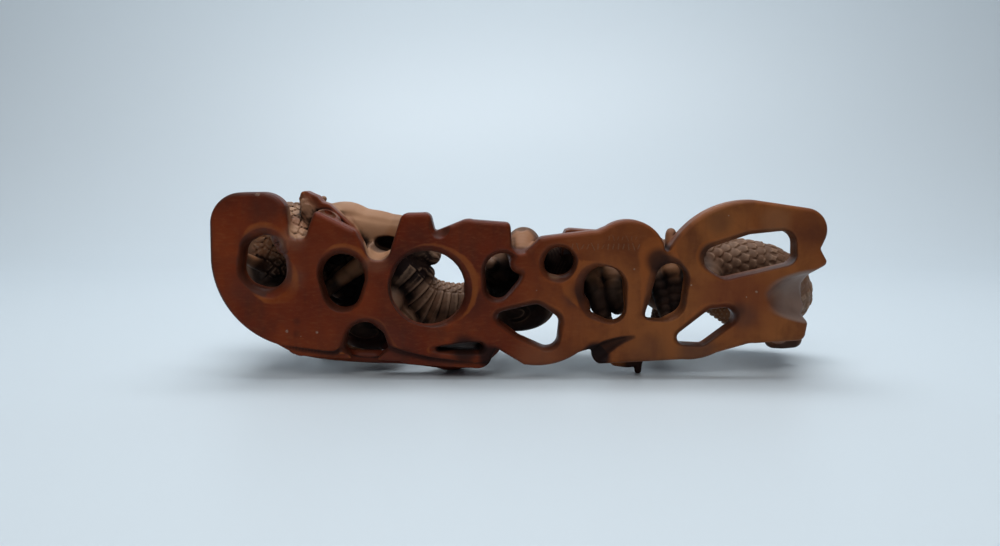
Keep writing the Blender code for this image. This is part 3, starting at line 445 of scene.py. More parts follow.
def tube(clay, points, k, relief=None, per_span=5, belly=(0, -1, 0), margin=3.2, cut=False):
    """A limb along a smooth line, with a relief worked in (rows along, angle from the belly, radius)."""
    path = smooth_path(points, per_span)
    rmax = path[:, 3].max()
    low = (path[:, :3] - path[:, 3:4]).min(0) - margin
    high = (path[:, :3] + path[:, 3:4]).max(0) + margin
    whole = clay.slices(low, high)
    if whole is None:
        return
    shape = tuple(s.stop - s.start for s in whole)
    d = np.full(shape, 5.0, F32)
    which = np.zeros(shape, np.int16)
    for i in range(len(path) - 1):
        a, b = path[i], path[i + 1]
        r = max(a[3], b[3]) + margin
        part = clay.slices(np.minimum(a[:3], b[:3]) - r, np.maximum(a[:3], b[:3]) + r)
        if part is None:
            continue
        part = tuple(slice(max(s.start, w.start), min(s.stop, w.stop)) for s, w in zip(part, whole))
        x, y, z = clay.open_coords(part)
        ab = (b - a)[:3]
        length2 = max(float(ab @ ab), 1e-9)
        px, py, pz = x - F32(a[0]), y - F32(a[1]), z - F32(a[2])
        t = np.clip((px * F32(ab[0]) + py * F32(ab[1]) + pz * F32(ab[2])) / F32(length2), 0, 1)
        px, py, pz = px - t * F32(ab[0]), py - t * F32(ab[1]), pz - t * F32(ab[2])
        here = np.sqrt(px * px + py * py + pz * pz) - (F32(a[3]) + t * F32(b[3] - a[3]))
        local = tuple(slice(s.start - w.start, s.stop - w.start) for s, w in zip(part, whole))
        old = d[local]
        nearer = here < old
        d[local] = np.where(nearer, here, old)
        which[local] = np.where(nearer, i, which[local])
    if relief is not None:
        near = np.nonzero(np.abs(d) < 1.9)
        if len(near[0]):
            index = which[near]
            p = np.stack([clay.axes[i][whole[i]][near[i]] for i in range(3)], 1).astype(np.float64)
            a, b = path[index], path[index + 1]
            ab = b[:, :3] - a[:, :3]
            t = np.clip(((p - a[:, :3]) * ab).sum(1) / np.maximum((ab * ab).sum(1), 1e-9), 0, 1)
            steps = np.diff(path[:, :3], axis=0)
            lengths = np.linalg.norm(steps, axis=1)
            radii = 0.5 * (path[1:, 3] + path[:-1, 3])
            rows = np.concatenate([[0], np.cumsum(lengths / (0.31 * radii))])
            u = rows[index] + t * (rows[index + 1] - rows[index])
            tangent = ab / np.maximum(np.linalg.norm(ab, axis=1, keepdims=True), 1e-9)
            side = np.array(belly(u) if callable(belly) else np.broadcast_to(belly, tangent.shape), float)
            side = side - tangent * (side * tangent).sum(1, keepdims=True)
            side = side / np.maximum(np.linalg.norm(side, axis=1, keepdims=True), 1e-9)
            other = np.cross(tangent, side)
            q = p - (a[:, :3] + t[:, None] * ab)
            angle = np.arctan2((q * other).sum(1), (q * side).sum(1))
            radius = a[:, 3] + t * (b[:, 3] - a[:, 3])
            d[near] -= relief(u, angle, radius, p).astype(F32)
    (clay.cut if cut else clay.add)(whole, d, k)


def mass(clay, centre, half_sizes, turn, k, relief=None, cut=False):
    """A rounded mass, turned about y."""
    reach = max(half_sizes) + 3
    part = clay.slices(np.array(centre) - reach, np.array(centre) + reach)
    x, y, z = clay.open_coords(part)
    x, y, z = x - F32(centre[0]), y - F32(centre[1]), z - F32(centre[2])
    t = math.radians(turn)
    xr = x * F32(math.cos(t)) - z * F32(math.sin(t))
    zr = x * F32(math.sin(t)) + z * F32(math.cos(t))
    a, b, c = (F32(h) for h in half_sizes)
    k0 = np.sqrt((xr / a) ** 2 + (y / b) ** 2 + (zr / c) ** 2)
    k1 = np.sqrt((xr / a**2) ** 2 + (y / b**2) ** 2 + (zr / c**2) ** 2)
    d = k0 * (k0 - 1) / np.maximum(k1, 1e-6)
    if relief is not None:
        near = np.nonzero(np.abs(d) < 1.8)
        px, py, pz = xr.repeat(1, 0), y, zr
        px = np.broadcast_to(xr, d.shape)[near]
        py = np.broadcast_to(y, d.shape)[near]
        pz = np.broadcast_to(zr, d.shape)[near]
        d[near] -= relief(px / a, py / b, pz / c, max(half_sizes)).astype(F32)
    (clay.cut if cut else clay.add)(part, d, k)


def spike(clay, base, tip, radius, k, end=0.35):
    tube(clay, [(*base, radius), (*((np.array(base) + tip) / 2), radius * 0.55), (*tip, end)], k, per_span=2, margin=1.5)


def cloud_relief(turns, depth):
    def relief(x, y, z, size):
        out = np.arccos(np.clip(y / np.maximum(np.sqrt(x * x + y * y + z * z), 1e-6), -1, 1)) / math.pi
        phi = np.arctan2(z, x) / (2 * math.pi)
        phase = out * turns - phi
        groove = np.abs(phase - np.round(phase)) / (turns / size) * 3.2
        return -depth * np.exp(-((groove / 1.1) ** 2)) * np.clip(out * 8, 0, 1)

    return relief


def rough_relief(x, y, z, size):
    return 0.35 * wobble(x, y, z, 0.55, 3) + 0.25 * wobble(x, y, z, 0.25, 5)


def hair_relief(x, y, z, size):
    wave = (x * 2.2 + 0.5 * np.sin(z * 3 + y * 2)) * 2.6
    return 0.55 * (np.abs(np.sin(np.pi * wave)) ** 0.6 - 0.5)


# ---------------------------------------------------------------- the base
def arc_points(arcs, step):
    points = []
    for _, cx, cz, r, first, last in arcs:
        count = max(2, int(abs(last - first) * math.pi / 180 * r / step) + 1)
        for k in range(count + 1):
            a = math.radians(first + (last - first) * k / count)
            points.append((cx + r * math.cos(a), cz + r * math.sin(a)))
    return np.array(points)


def circle_hull(circles):
    """The rounded outline that a string pulled round the circles would take."""
    rim = sorted(
        (cx + r * math.cos(a), cz + r * math.sin(a))
        for cx, cz, r in circles
        for a in (2 * math.pi * k / 30 for k in range(30))
    )

    def half(points):
        line = []
        for p in points:
            while len(line) > 1 and (line[-1][0] - line[-2][0]) * (p[1] - line[-2][1]) <= (line[-1][1] - line[-2][1]) * (p[0] - line[-2][0]):
                line.pop()
            line.append(p)
        return line[:-1]

    return np.array(half(rim) + half(rim[::-1]))


def outline_distance(xs, zs, outline):
    x, z = xs[:, None], zs[None, :]
    best = np.full((len(xs), len(zs)), 1e9, F32)
    inside = np.zeros(best.shape, bool)
    for (x0, z0), (x1, z1) in zip(outline, np.roll(outline, -1, axis=0)):
        ex, ez = x1 - x0, z1 - z0
        n = max(ex * ex + ez * ez, 1e-9)
        t = np.clip(((x - x0) * ex + (z - z0) * ez) / n, 0, 1)
        best = np.minimum(best, (x - x0 - t * ex) ** 2 + (z - z0 - t * ez) ** 2)
        crosses = (z0 > z) != (z1 > z)
        if ez:
            inside ^= crosses & (x < (x1 - x0) * (z - z0) / ez + x0)
    return np.where(inside, -np.sqrt(best), np.sqrt(best)).astype(F32)


def outline_distance_at(x, z, outline):
    best = np.full(len(x), 1e9)
    inside = np.zeros(len(x), bool)
    for (x0, z0), (x1, z1) in zip(outline, np.roll(outline, -1, axis=0)):
        ex, ez = x1 - x0, z1 - z0
        t = np.clip(((x - x0) * ex + (z - z0) * ez) / max(ex * ex + ez * ez, 1e-9), 0, 1)
        best = np.minimum(best, (x - x0 - t * ex) ** 2 + (z - z0 - t * ez) ** 2)
        if ez:
            inside ^= ((z0 > z) != (z1 > z)) & (x < ex * (z - z0) / ez + x0)
    return np.where(inside, -np.sqrt(best), np.sqrt(best))


def slab(flat, y, front, back, rounding):
    """A flat outline made a plate with rounded rims."""
    half, middle = (back - front) / 2, (back + front) / 2
    out = np.empty((flat.shape[0], len(y), flat.shape[1]), F32)
    for j, yy in enumerate(y):
        a = flat + rounding
        b = abs(yy - middle) - half + rounding
        out[:, j, :] = np.minimum(np.maximum(a, b), 0) + np.sqrt(np.maximum(a, 0) ** 2 + max(b, 0) ** 2) - rounding
    return out


def plate(clay, front, back, rounding, outline, k):
    outline = np.array(outline)
    (x0, z0), (x1, z1) = outline.min(0) - 3, outline.max(0) + 3
    part = clay.slices((x0, front - 3, z0), (x1, back + 3, z1))
    x, y, z = (clay.axes[i][part[i]] for i in range(3))
    clay.add(part, slab(outline_distance(x, z, outline), y, front, back, rounding), k)


def base_board(clay):
    part = clay.slices((LOW[0], -1.5, LOW[2]), (HIGH[0], BASE_THICK + 4, HIGH[2]))
    y = clay.axes[1][part[1]]
    board = slab(outline_distance(clay.axes[0], clay.axes[2], arc_points(RIM, 1.2)), y, 0.0, BASE_THICK, EDGE_ROUND)
    for _, throat, mouth in HOLES:
        inner, outer = circle_hull(throat), circle_hull(mouth)
        both = np.concatenate([inner, outer])
        (x0, z0), (x1, z1) = both.min(0) - 4, both.max(0) + 4
        box = clay.slices((x0, -1.5, z0), (x1, BASE_THICK + 4, z1))
        xs, zs = clay.axes[0][box[0]], clay.axes[2][box[2]]
        inner, outer = outline_distance(xs, zs, inner), outline_distance(xs, zs, outer)
        for j, yy in enumerate(y):
            share = 1.0 - yy if yy < 0 else max(0.0, 1 - yy / THROAT) ** 2
            board[box[0], j, box[2]] = smax(board[box[0], j, box[2]], -(inner + (outer - inner) * F32(share)), 1.2)
    clay.add(part, board, 0.5)


# ---------------------------------------------------------------- the dragon
def body_belly(u):
    """The belly faces the base by the round hole and rolls under toward the tail."""
    turn = np.clip((u - 26) / 14, 0, 1) * 1.75
    return np.stack([np.zeros_like(u), -np.cos(turn), -np.sin(turn)], 1)


def dragon_skin(count, lift, belly_half=0.9, jitter=0.02):
    def relief(u, angle, radius, p):
        flank = scales(u, angle / (2 * math.pi) * count, lift, jitter)
        plates = scutes(u, angle / belly_half, lift * 1.1)
        on_belly = np.clip((belly_half - np.abs(angle)) / 0.06, 0, 1)
        return flank * (1 - on_belly) + plates * on_belly - 0.25 * lift

    return relief


def limb_skin(count, lift):
    def relief(u, angle, radius, p):
        return scales(u * 1.15, angle / (2 * math.pi) * count, lift, 0.03) - 0.3 * lift

    return relief


def hair_skin(u, angle, radius, p):
    return hair(u, angle, 9, 0.8) * np.clip(radius / 3, 0.3, 1)


def knuckles(u, angle, radius, p):
    return 0.35 * np.abs(np.sin(u * 0.9)) ** 0.5 * np.clip(radius / 3, 0, 1)


def crackle(x, z, cell, seed):
    """Distance, in mm, from the seams between uneven blocks."""
    i, k = np.floor(x / cell), np.floor(z / cell)
    near = np.full(x.shape, 9.0)
    second = np.full(x.shape, 9.0)
    for a in (-1, 0, 1):
        for b in (-1, 0, 1):
            ci, ck = i + a, k + b
            px = ci + 0.5 + 0.38 * np.sin(ci * 12.9898 + ck * 78.233 + seed)
            pz = ck + 0.5 + 0.38 * np.sin(ci * 39.346 + ck * 11.135 + seed * 1.7)
            d = np.hypot(x / cell - px, z / cell - pz)
            second = np.minimum(second, np.maximum(near, d))
            near = np.minimum(near, d)
    return (second - near) * cell


def blocky(p, lift):
    """Angular bark-like blocks with sunken seams; their darkness is the painted shade of the hollow colouring."""
    x = p[:, 0] + 0.5 * p[:, 1]
    seam = crackle(x, p[:, 2] * 1.15 + 0.3 * p[:, 1], 4.6, 2.0)
    fine = crackle(x, p[:, 2] + 0.3 * p[:, 1], 1.9, 5.0)
    return lift * (np.clip(seam / 0.9, 0, 1) ** 0.7 - 0.6) + 0.22 * lift * (np.clip(fine / 0.5, 0, 1) - 0.5)


def block_skin(u, angle, radius, p):
    return blocky(p, 1.15)


def rough_skin(u, angle, radius, p):
    return 0.35 * wobble(p[:, 0], p[:, 1], p[:, 2], 3.4, 3) + 0.2 * wobble(p[:, 0], p[:, 1], p[:, 2], 1.6, 5)


def neck_skin(u, angle, radius, p):
    behind = np.clip((p[:, 1] - 42) / 5, 0, 1)
    back = dragon_skin(15, 1.25, 0.8, 0.06)(u, angle, radius, p)
    return back * behind + blocky(p, 1.3) * (1 - behind)


def sculpt(clay):
    base_board(clay)
    skins = {"smooth": None, "cloud": None, "scaled": limb_skin(12, 0.85), "hair": hair_skin, "claw": knuckles,
             "rough": rough_skin, "plates": block_skin}
    mass_skins = {"smooth": None, "rough": rough_relief, "cloud": cloud_relief(3.2, 1.0), "hair": hair_relief, "skin": None}
    for name, finish, k, centre, half, turn in MASSES:
        if finish != "skin":
            mass(clay, centre, half, turn, k, mass_skins[finish])
    for name, finish, k, points in LIMBS:
        tube(clay, points, k, skins[finish])
    for name, front, back, rounding, outline in PLATES:
        plate(clay, front, back, rounding, outline, 0.8)
    for name, finish, k, centre, half, turn in MASSES:
        if finish == "skin":
            mass(clay, centre, half, turn, k, None)
    tube(clay, BODY, 1.4, dragon_skin(16, 1.35), per_span=6, belly=body_belly, margin=2.8)
    tube(clay, NECK, 1.4, neck_skin, per_span=6, margin=2.8)
    back_spines(clay, BODY[1:-2], SPINES)
    back_spines(clay, NECK[1:6], 7)
    head(clay)
    tail_flame(clay)
    mass(clay, (-56.5, 25, 11), (7, 7, 3.6), 0, 1.5)
    mass(clay, (-64.0, 33.0, 62.6), (13.0, 8.0, 8.2), 6, 2.0)
    mass(clay, (-54.0, 33.0, 63.0), (6.0, 7.0, 6.0), 0, 2.0)
    mass(clay, (-58.5, 25.0, 56.6), (6.0, 10.0, 3.3), 8, 1.2, cut=True)
    tube(clay, [(-59.6, -1, 56.4, 4.7), (-60.2, 8, 56.9, 5.0), (-60.8, 16, 58.0, 5.0)], 1.2, cut=True)
    tube(clay, [(-79.0, 25.0, 70.5, 0.9), (-70.0, 24.6, 69.2, 1.2), (-61.0, 24.6, 67.4, 1.2), (-52.0, 26.0, 66.6, 0.8)], 1.6, cut=True)
    mass(clay, *WAIST_SCOOP, 0, 2.0, cut=True)
    for name, points in GROOVES + SEAMS:
        tube(clay, points, 0.8, cut=True)
    # a dish in the pad over the second lobe, one in the lump of the fourth notch, and the pared corner of the fourth lobe
    mass(clay, (-82.6, 9.0, 71.2), (4.2, 4.5, 2.0), 24, 0.4, cut=True)
    mass(clay, (1.3, 15.0, 66.6), (3.8, 6.0, 4.0), 0, 0.6, cut=True)
    mass(clay, (-33.5, -2.0, 66.0), (5.0, 5.0, 6.0), 0, 0.6, cut=True)


def back_spines(clay, points, count):
    path = smooth_path(points, 12)
    for k in range(count):
        s = (k + 0.5) / count * (len(path) - 2)
        i = int(s)
        here = path[i] + (path[i + 1] - path[i]) * (s - i)
        along = unit((path[i + 1] - path[i])[:3])
        up = np.array((0, 1.0, 0)) - along * along[1]
        if np.linalg.norm(up) < 0.35:
            up = np.array((0, 0.35, 1)) - along * along[2]
        up = unit(up)
        r = here[3]
        h = SPINE_HEIGHT * (0.5 + 0.5 * r / 13)
        base = here[:3] + up * r * 0.72
        tip = here[:3] + up * (r + h) + along * SPINE_HEIGHT * 0.45
        spike(clay, base, tip, 0.34 * SPINE_HEIGHT * (0.6 + 0.4 * r / 13) + 0.6, 0.8, 0.5)


def head(clay):
    smooth = [
        (2.0, [(-105, 65, 56, 8.0), (-115, 68, 53, 6.6), (-124, 70, 50, 4.6), (-127, 71.5, 49, 3.6)]),
        (1.2, [(-106, 60, 53, 6.0), (-115, 59, 50, 4.0), (-123, 59.5, 48, 3.0)]),
        (0.6, [(-110, 61, 52, 2.6), (-118, 63.5, 49.5, 2.0), (-124, 64.5, 49, 1.4)]),
        (0.8, [(-103, 70, 59, 2.8), (-94, 75, 62, 2.2), (-86, 76.5, 66, 1.3)]),
        (0.8, [(-104, 70, 52, 2.8), (-95, 75, 49, 2.2), (-87, 77, 46, 1.3)]),
        (0.6, [(-124, 68, 52, 1.6), (-123, 62, 59, 1.4), (-117, 56, 63, 1.3)]),
    ]
    locks = [
        [(-99, 62, 65, 4.0), (-89, 63, 69, 3.0), (-81, 60, 72, 1.4)],
        [(-97, 62, 58, 4.4), (-85, 65, 59, 3.2), (-76, 64, 62, 1.4)],
        [(-99, 60, 51, 4.2), (-88, 63, 48, 3.0), (-79, 62, 46, 1.4)],
        [(-104, 56, 68, 3.6), (-98, 54, 73.5, 2.4), (-92, 50, 76, 1.3)],
        [(-112, 57, 51, 3.0), (-113, 50, 46, 2.2), (-109, 45, 43, 1.4)],
    ]
    for k, points in smooth:
        tube(clay, points, k)
    for points in locks:
        tube(clay, points, 0.8, hair_skin)
    for centre, half in (((-106, 68, 56), (7.5, 5.6, 7.8)), ((-127, 73, 49), (3.6, 3.2, 4.6)),
                         ((-106, 62, 61), (5.5, 4.2, 3.4)), ((-107, 62, 49), (5.5, 4.2, 3.4))):
        mass(clay, centre, half, 0, 1.4)
    for side in (1, -1):
        z = 55 + side * 6.2
        mass(clay, (-112.5, 70.5, z), (3.0, 2.8, 2.6), 0, 0.6, cut=True)
        mass(clay, (-112.5, 70.5, 55 + side * 5.4), (2.2, 2.2, 2.0), 0, 0.3)
        tube(clay, [(-117, 73, 54 + side * 4.6, 1.2), (-112, 74.6, 55 + side * 6.2, 1.6), (-106, 73.5, 56 + side * 7.4, 1.3)], 0.5)
        mass(clay, (-129.2, 74.0, 49 + side * 2.6), (1.3, 1.2, 1.1), 0, 0.3, cut=True)
        for i in range(5):
            x = -126 + i * 2.6
            spike(clay, (x, 66.5 - 0.25 * i, 49.6 + side * (2.2 + 0.35 * i)), (x - 0.3, 63.6, 49.4 + side * (2.2 + 0.35 * i)), 0.9, 0.3, 0.3)
            spike(clay, (x + 1.2, 61.0, 48.8 + side * (1.8 + 0.3 * i)), (x + 1.0, 63.8, 48.8 + side * (1.8 + 0.3 * i)), 0.8, 0.3, 0.3)


def tail_flame(clay):
    for points in ([(83, 66, 46, 3.6), (79, 68, 51, 3.0), (77, 69.5, 56, 1.4)],
                   [(83, 66, 46, 3.6), (76, 69, 47, 3.0), (69, 71, 49, 1.4)],
                   [(83, 66, 46, 3.6), (77, 68, 41, 2.8), (71, 70, 38, 1.4)]):
        tube(clay, points, 0.8, hair_skin)


# ---------------------------------------------------------------- clay to mesh
def surface(clay):
    """Surface nets: one point in each cell that the surface crosses, joined four by four."""
    f = clay.field
    inside = f < 0
    shape = np.array(f.shape)
    cells = shape - 1
    total = int(cells.prod())
    count = np.zeros(total, F32)
    sums = [np.zeros(total, F32) for _ in range(3)]
    quads = []
    stride = (cells[1] * cells[2], cells[2], 1)
    for axis in range(3):
        lo = [slice(None)] * 3
        hi = [slice(None)] * 3
        lo[axis], hi[axis] = slice(None, -1), slice(1, None)
        change = inside[tuple(lo)] != inside[tuple(hi)]
        i, j, k = np.nonzero(change)
        at = np.stack([i, j, k], 1)
        others = [o for o in range(3) if o != axis]
        keep = np.all((at[:, others] > 0) & (at[:, others] < shape[others] - 1), axis=1)
        at = at[keep]
        nxt = at.copy()
        nxt[:, axis] += 1
        fa = f[at[:, 0], at[:, 1], at[:, 2]]
        fb = f[nxt[:, 0], nxt[:, 1], nxt[:, 2]]
        pos = at.astype(F32)
        pos[:, axis] += fa / (fa - fb)
        flip = fa < 0
        ids = []
        for da in (0, 1):
            for db in (0, 1):
                cell = at.copy()
                cell[:, others[0]] -= da
                cell[:, others[1]] -= db
                index = cell[:, 0] * stride[0] + cell[:, 1] * stride[1] + cell[:, 2]
                ids.append(index)
                count += np.bincount(index, minlength=total).astype(F32)
                for n in range(3):
                    sums[n] += np.bincount(index, weights=pos[:, n], minlength=total).astype(F32)
        quad = np.stack([ids[0], ids[1], ids[3], ids[2]], 1)
        turn = flip if axis != 1 else ~flip
        quad[turn] = quad[turn][:, ::-1]
        quads.append(quad)
    used = np.nonzero(count)[0]
    remap = np.full(total, -1, np.int64)
    remap[used] = np.arange(len(used))
    verts = np.stack([sums[n][used] / count[used] for n in range(3)], 1).astype(np.float64)
    faces = remap[np.concatenate(quads)]
    verts = verts * clay.step + clay.low
    for _ in range(2):
        value = clay.sample(verts)
        normal = clay.normals(verts, clay.step * 0.7)
        verts = verts - normal * np.clip(value, -0.2, 0.2)[:, None]
    return verts, faces


def mesh_from(name, verts, faces):
    mesh = bpy.data.meshes.new(name)
    sides = faces.shape[1]
    mesh.vertices.add(len(verts))
    mesh.vertices.foreach_set("co", verts.astype(F32).ravel())
    mesh.loops.add(faces.size)
    mesh.loops.foreach_set("vertex_index", faces.astype(np.int32).ravel())
    mesh.polygons.add(len(faces))
    mesh.polygons.foreach_set("loop_start", np.arange(0, faces.size, sides, dtype=np.int32))
    mesh.update(calc_edges=True)
    mesh.validate()
    return mesh


def biggest_body(verts, faces):
    """Drops loose crumbs."""
    label = np.arange(len(verts))
    edges = np.concatenate([faces[:, [0, 1]], faces[:, [1, 2]], faces[:, [2, 3]]])
    while True:
        low = np.minimum(label[edges[:, 0]], label[edges[:, 1]])
        new = label.copy()
        np.minimum.at(new, edges[:, 0], low)
        np.minimum.at(new, edges[:, 1], low)
        new = new[new]
        new = new[new]
        if (new == label).all():
            break
        label = new
    names, counts = np.unique(label[faces[:, 0]], return_counts=True)
    main = names[counts.argmax()]
    return verts, faces[label[faces[:, 0]] == main], len(names)


def thinned(mesh, obj, triangles, count):
    decimate = obj.modifiers.new("thin", "DECIMATE")
    decimate.ratio = min(1.0, triangles / count)
    decimate.use_collapse_triangulate = True
    bpy.context.view_layer.update()
    thin = bpy.data.meshes.new_from_object(obj.evaluated_get(bpy.context.evaluated_depsgraph_get()))
    bpy.data.objects.remove(obj)
    bpy.data.meshes.remove(mesh)
    points = np.empty(len(thin.vertices) * 3, F32)
    thin.vertices.foreach_get("co", points)
    corners = np.empty(len(thin.loops), np.int32)
    thin.loops.foreach_get("vertex_index", corners)
    bpy.data.meshes.remove(thin)
    return points.reshape(-1, 3).astype(np.float64), corners.reshape(-1, 3)


def build_carving():
    clay = Clay(LOW, HIGH, GRID)
    sculpt(clay)
    print("sculpted", round(time.time() - BEGUN, 1), clay.shape)
    # ground and base face are flat, and the sculpt keeps inside the solid's box
    y = clay.axes[1].reshape(1, -1, 1)
    z = clay.axes[2].reshape(1, 1, -1)
    x = clay.axes[0].reshape(-1, 1, 1)
    uneven = 0.06 * wobble(x, F32(0), z, 16.0, 21) + 0.03 * wobble(x, F32(0), z, 5.0, 23)
    seam = np.interp(x, [row[0] for row in STRAP_SEAM], [row[1] for row in STRAP_SEAM]).astype(F32)
    set_back = STRAP_SET_BACK * np.clip((seam - z) / 0.7, 0, 1)
    clay.field = np.maximum(clay.field, 0.13 + np.clip(uneven, -0.11, 0.11) + set_back - y)
    clay.field = np.maximum(clay.field, F32(0.02) - z)
    verts, faces = surface(clay)
    verts, faces, bodies = biggest_body(verts, faces)
    print("meshed", round(time.time() - BEGUN, 1), len(verts), len(faces), "bodies", bodies)
    mesh = mesh_from("whole", verts, faces)
    obj = bpy.data.objects.new("whole", mesh)
    bpy.context.scene.collection.objects.link(obj)
    points, corners = thinned(mesh, obj, TRIANGLES, 2 * len(faces))
    print("thinned", round(time.time() - BEGUN, 1), len(corners))

    normal = clay.normals(points, 0.45)
    # hollow: how far each point sits in a cut; the wood darkens with it, partly as grime and partly as painted shade
    hollow = np.zeros(len(points))
    for reach, share in ((0.7, 0.3), (1.6, 0.4), (3.5, 0.3)):
        hollow += share * np.clip((reach - clay.sample(points + normal * reach)) / reach, 0, 1)
    # closed_in: how closed in each point is; the wood goes near-black with it, as painted shade
    wide, weights = np.zeros(len(points)), np.zeros(len(points))
    ways = 26
    for k in range(ways):
        up = 1 - 2 * (k + 0.5) / ways
        turn = k * 2.399963
        way = np.array((math.sqrt(1 - up * up) * math.cos(turn), math.sqrt(1 - up * up) * math.sin(turn), up))
        weight = np.clip(normal @ way + 0.1, 0, None)
        blocked = np.zeros(len(points))
        for step in (2.5, 5.5, 10.0, 16.0, 24.0, 33.0):
            blocked = np.maximum(blocked, np.clip(0.5 - clay.sample(points + way * step) / 1.4, 0, 1))
        wide += blocked * weight
        weights += weight
    wide /= weights
    bend = sum(clay.sample(points + s * np.eye(3)[k] * 1.2) for k in range(3) for s in (1, -1)) / 6 - clay.sample(points)
    edge = np.clip(bend / 0.45, -1, 1) * 0.5 + 0.5
    stained = np.zeros(len(points))
    for _, front, back, _, outline in PLATES:
        near = outline_distance_at(points[:, 0], points[:, 2], np.array(outline))
        stained = np.maximum(stained, np.clip(1.6 - near, 0, 1) * (points[:, 1] > front - 2) * (points[:, 1] < back + 1))
    # darkening along the grooves and seams of the face: painted shade
    groove_shade = np.zeros(len(points))
    for name, path in GROOVES[:1] + SEAMS:
        for px, _, pz, r in smooth_path(path, 8):
            far = np.hypot(points[:, 0] - px, points[:, 2] - pz) - r * 1.05
            groove_shade = np.maximum(groove_shade, np.clip(0.55 - far / 1.4, 0, 1))
    groove_shade *= points[:, 1] < 7
    # sloping, closed-in walls of the hole mouths near the face, darkened as painted shade
    slope = np.clip((normal[:, 1] + 0.985) / 0.12, 0, 1) * np.clip((wide - 0.05) / 0.12, 0, 1) * np.clip((8 - points[:, 1]) / 2, 0, 1)
    low = np.clip((17 - points[:, 2]) / 3, 0, 1) * np.clip((26 - points[:, 1]) / 4, 0, 1)
    stained = np.maximum(stained, low * (np.clip((-4 - points[:, 0]) / 4, 0, 1) + np.clip((points[:, 0] - 40) / 4, 0, 1)))
    shown = (points + SHIFT) * 0.001
    # four pieces, parted across the length by share of the triangles, with one set of normals
    middle = points[corners, 0].mean(1)
    parts = np.searchsorted(np.quantile(middle, (0.25, 0.5, 0.75)), middle)
    made = []
    for index, name in enumerate(PIECES):
        used, local = np.unique(corners[parts == index], return_inverse=True)
        piece = mesh_from(name, shown[used], local.reshape(-1, 3))
        attribute(piece, "hollow", hollow[used])
        attribute(piece, "closed_in", wide[used])
        attribute(piece, "edge", edge[used])
        attribute(piece, "stained", stained[used])
        attribute(piece, "groove_shade", groove_shade[used])
        attribute(piece, "slope", slope[used])
        piece.polygons.foreach_set("use_smooth", np.ones(len(piece.polygons), bool))
        if len(piece.vertices) == len(used):
            piece.normals_split_custom_set_from_vertices(normal[used])
        made.append(bpy.data.objects.new(name, piece))
        bpy.context.scene.collection.objects.link(made[-1])
    print("coloured", round(time.time() - BEGUN, 1), [len(o.data.polygons) for o in made])
    return made


def attribute(mesh, name, values):
    data = mesh.attributes.new(name, "FLOAT", "POINT")
    data.data.foreach_set("value", values.astype(F32))


# ---------------------------------------------------------------- wood
RED_DARK, RED_LIGHT = (0.100, 0.0125, 0.0032), (0.175, 0.0300, 0.0065)
OLIVE_DARK, OLIVE_LIGHT = (0.170, 0.0480, 0.0125), (0.240, 0.0800, 0.0220)
# painted shade on the sloping walls of the hole mouths
SLOPE_SHADE = (0.052, 0.0200, 0.0130)
WORN = (0.290, 0.080, 0.017)
TAN_DARK, TAN_LIGHT = (0.140, 0.078, 0.048), (0.235, 0.140, 0.092)
TAN_RED = (0.130, 0.048, 0.021)
BACK_DARK, BACK_LIGHT = (0.170, 0.062, 0.024), (0.290, 0.125, 0.052)
# pale bare wood, also standing in for painted light on surfaces that face the lamp above
PALE_DARK, PALE_LIGHT = (0.310, 0.150, 0.075), (0.480, 0.290, 0.175)
# closed_in values between which the near-black painted shade of enclosed places sets in
DEEP_FROM, DEEP_TO = 0.46, 0.84
GLOSS = 0.10


class Nodes:
    """Short names for building a node tree."""

    def __init__(self, material):
        material.use_nodes = True
        self.tree = material.node_tree
        self.tree.nodes.clear()

    def add(self, kind, inputs=(), **settings):
        node = self.tree.nodes.new(kind)
        for key, value in settings.items():
            setattr(node, key, value)
        for key, value in dict(inputs).items():
            socket = node.inputs[key]
            if isinstance(value, bpy.types.NodeSocket):
                self.tree.links.new(value, socket)
            else:
                socket.default_value = value
        return node

    def math(self, operation, a, b=0.0, c=None, clamp=False):
        values = {0: a, 1: b} if c is None else {0: a, 1: b, 2: c}
        return self.add("ShaderNodeMath", values, operation=operation, use_clamp=clamp).outputs[0]

    def ramp(self, value, low, high, to_low=0.0, to_high=1.0):
        return self.add(
            "ShaderNodeMapRange",
            {"Value": value, "From Min": low, "From Max": high, "To Min": to_low, "To Max": to_high},
            interpolation_type="SMOOTHSTEP",
        ).outputs["Result"]

    def mix(self, share, a, b, blend="MIX"):
        node = self.add("ShaderNodeMix", {"Factor": share}, data_type="RGBA", blend_type=blend)
        for key, value in ((6, a), (7, b)):
            if isinstance(value, bpy.types.NodeSocket):
                self.tree.links.new(value, node.inputs[key])
            else:
                node.inputs[key].default_value = (*value, 1)
        return node.outputs[2]

    def noise(self, vector, scale, detail=4.0, rough=0.55, distortion=0.0):
        return self.add(
            "ShaderNodeTexNoise",
            {"Vector": vector, "Scale": scale, "Detail": detail, "Roughness": rough, "Distortion": distortion},
        ).outputs["Fac"]


def in_row(place):
    return tuple((np.array(place) + SHIFT) * 0.001)


def places(n, where, rows):
    """The strongest of the listed places at this point."""
    total = 0.0
    for centre, inner, outer, share in rows:
        far = n.add("ShaderNodeVectorMath", {0: where, 1: in_row(centre)}, operation="DISTANCE").outputs["Value"]
        total = n.math("MAXIMUM", n.ramp(far, inner * 0.001, outer * 0.001, share, 0.0), total)
    return total


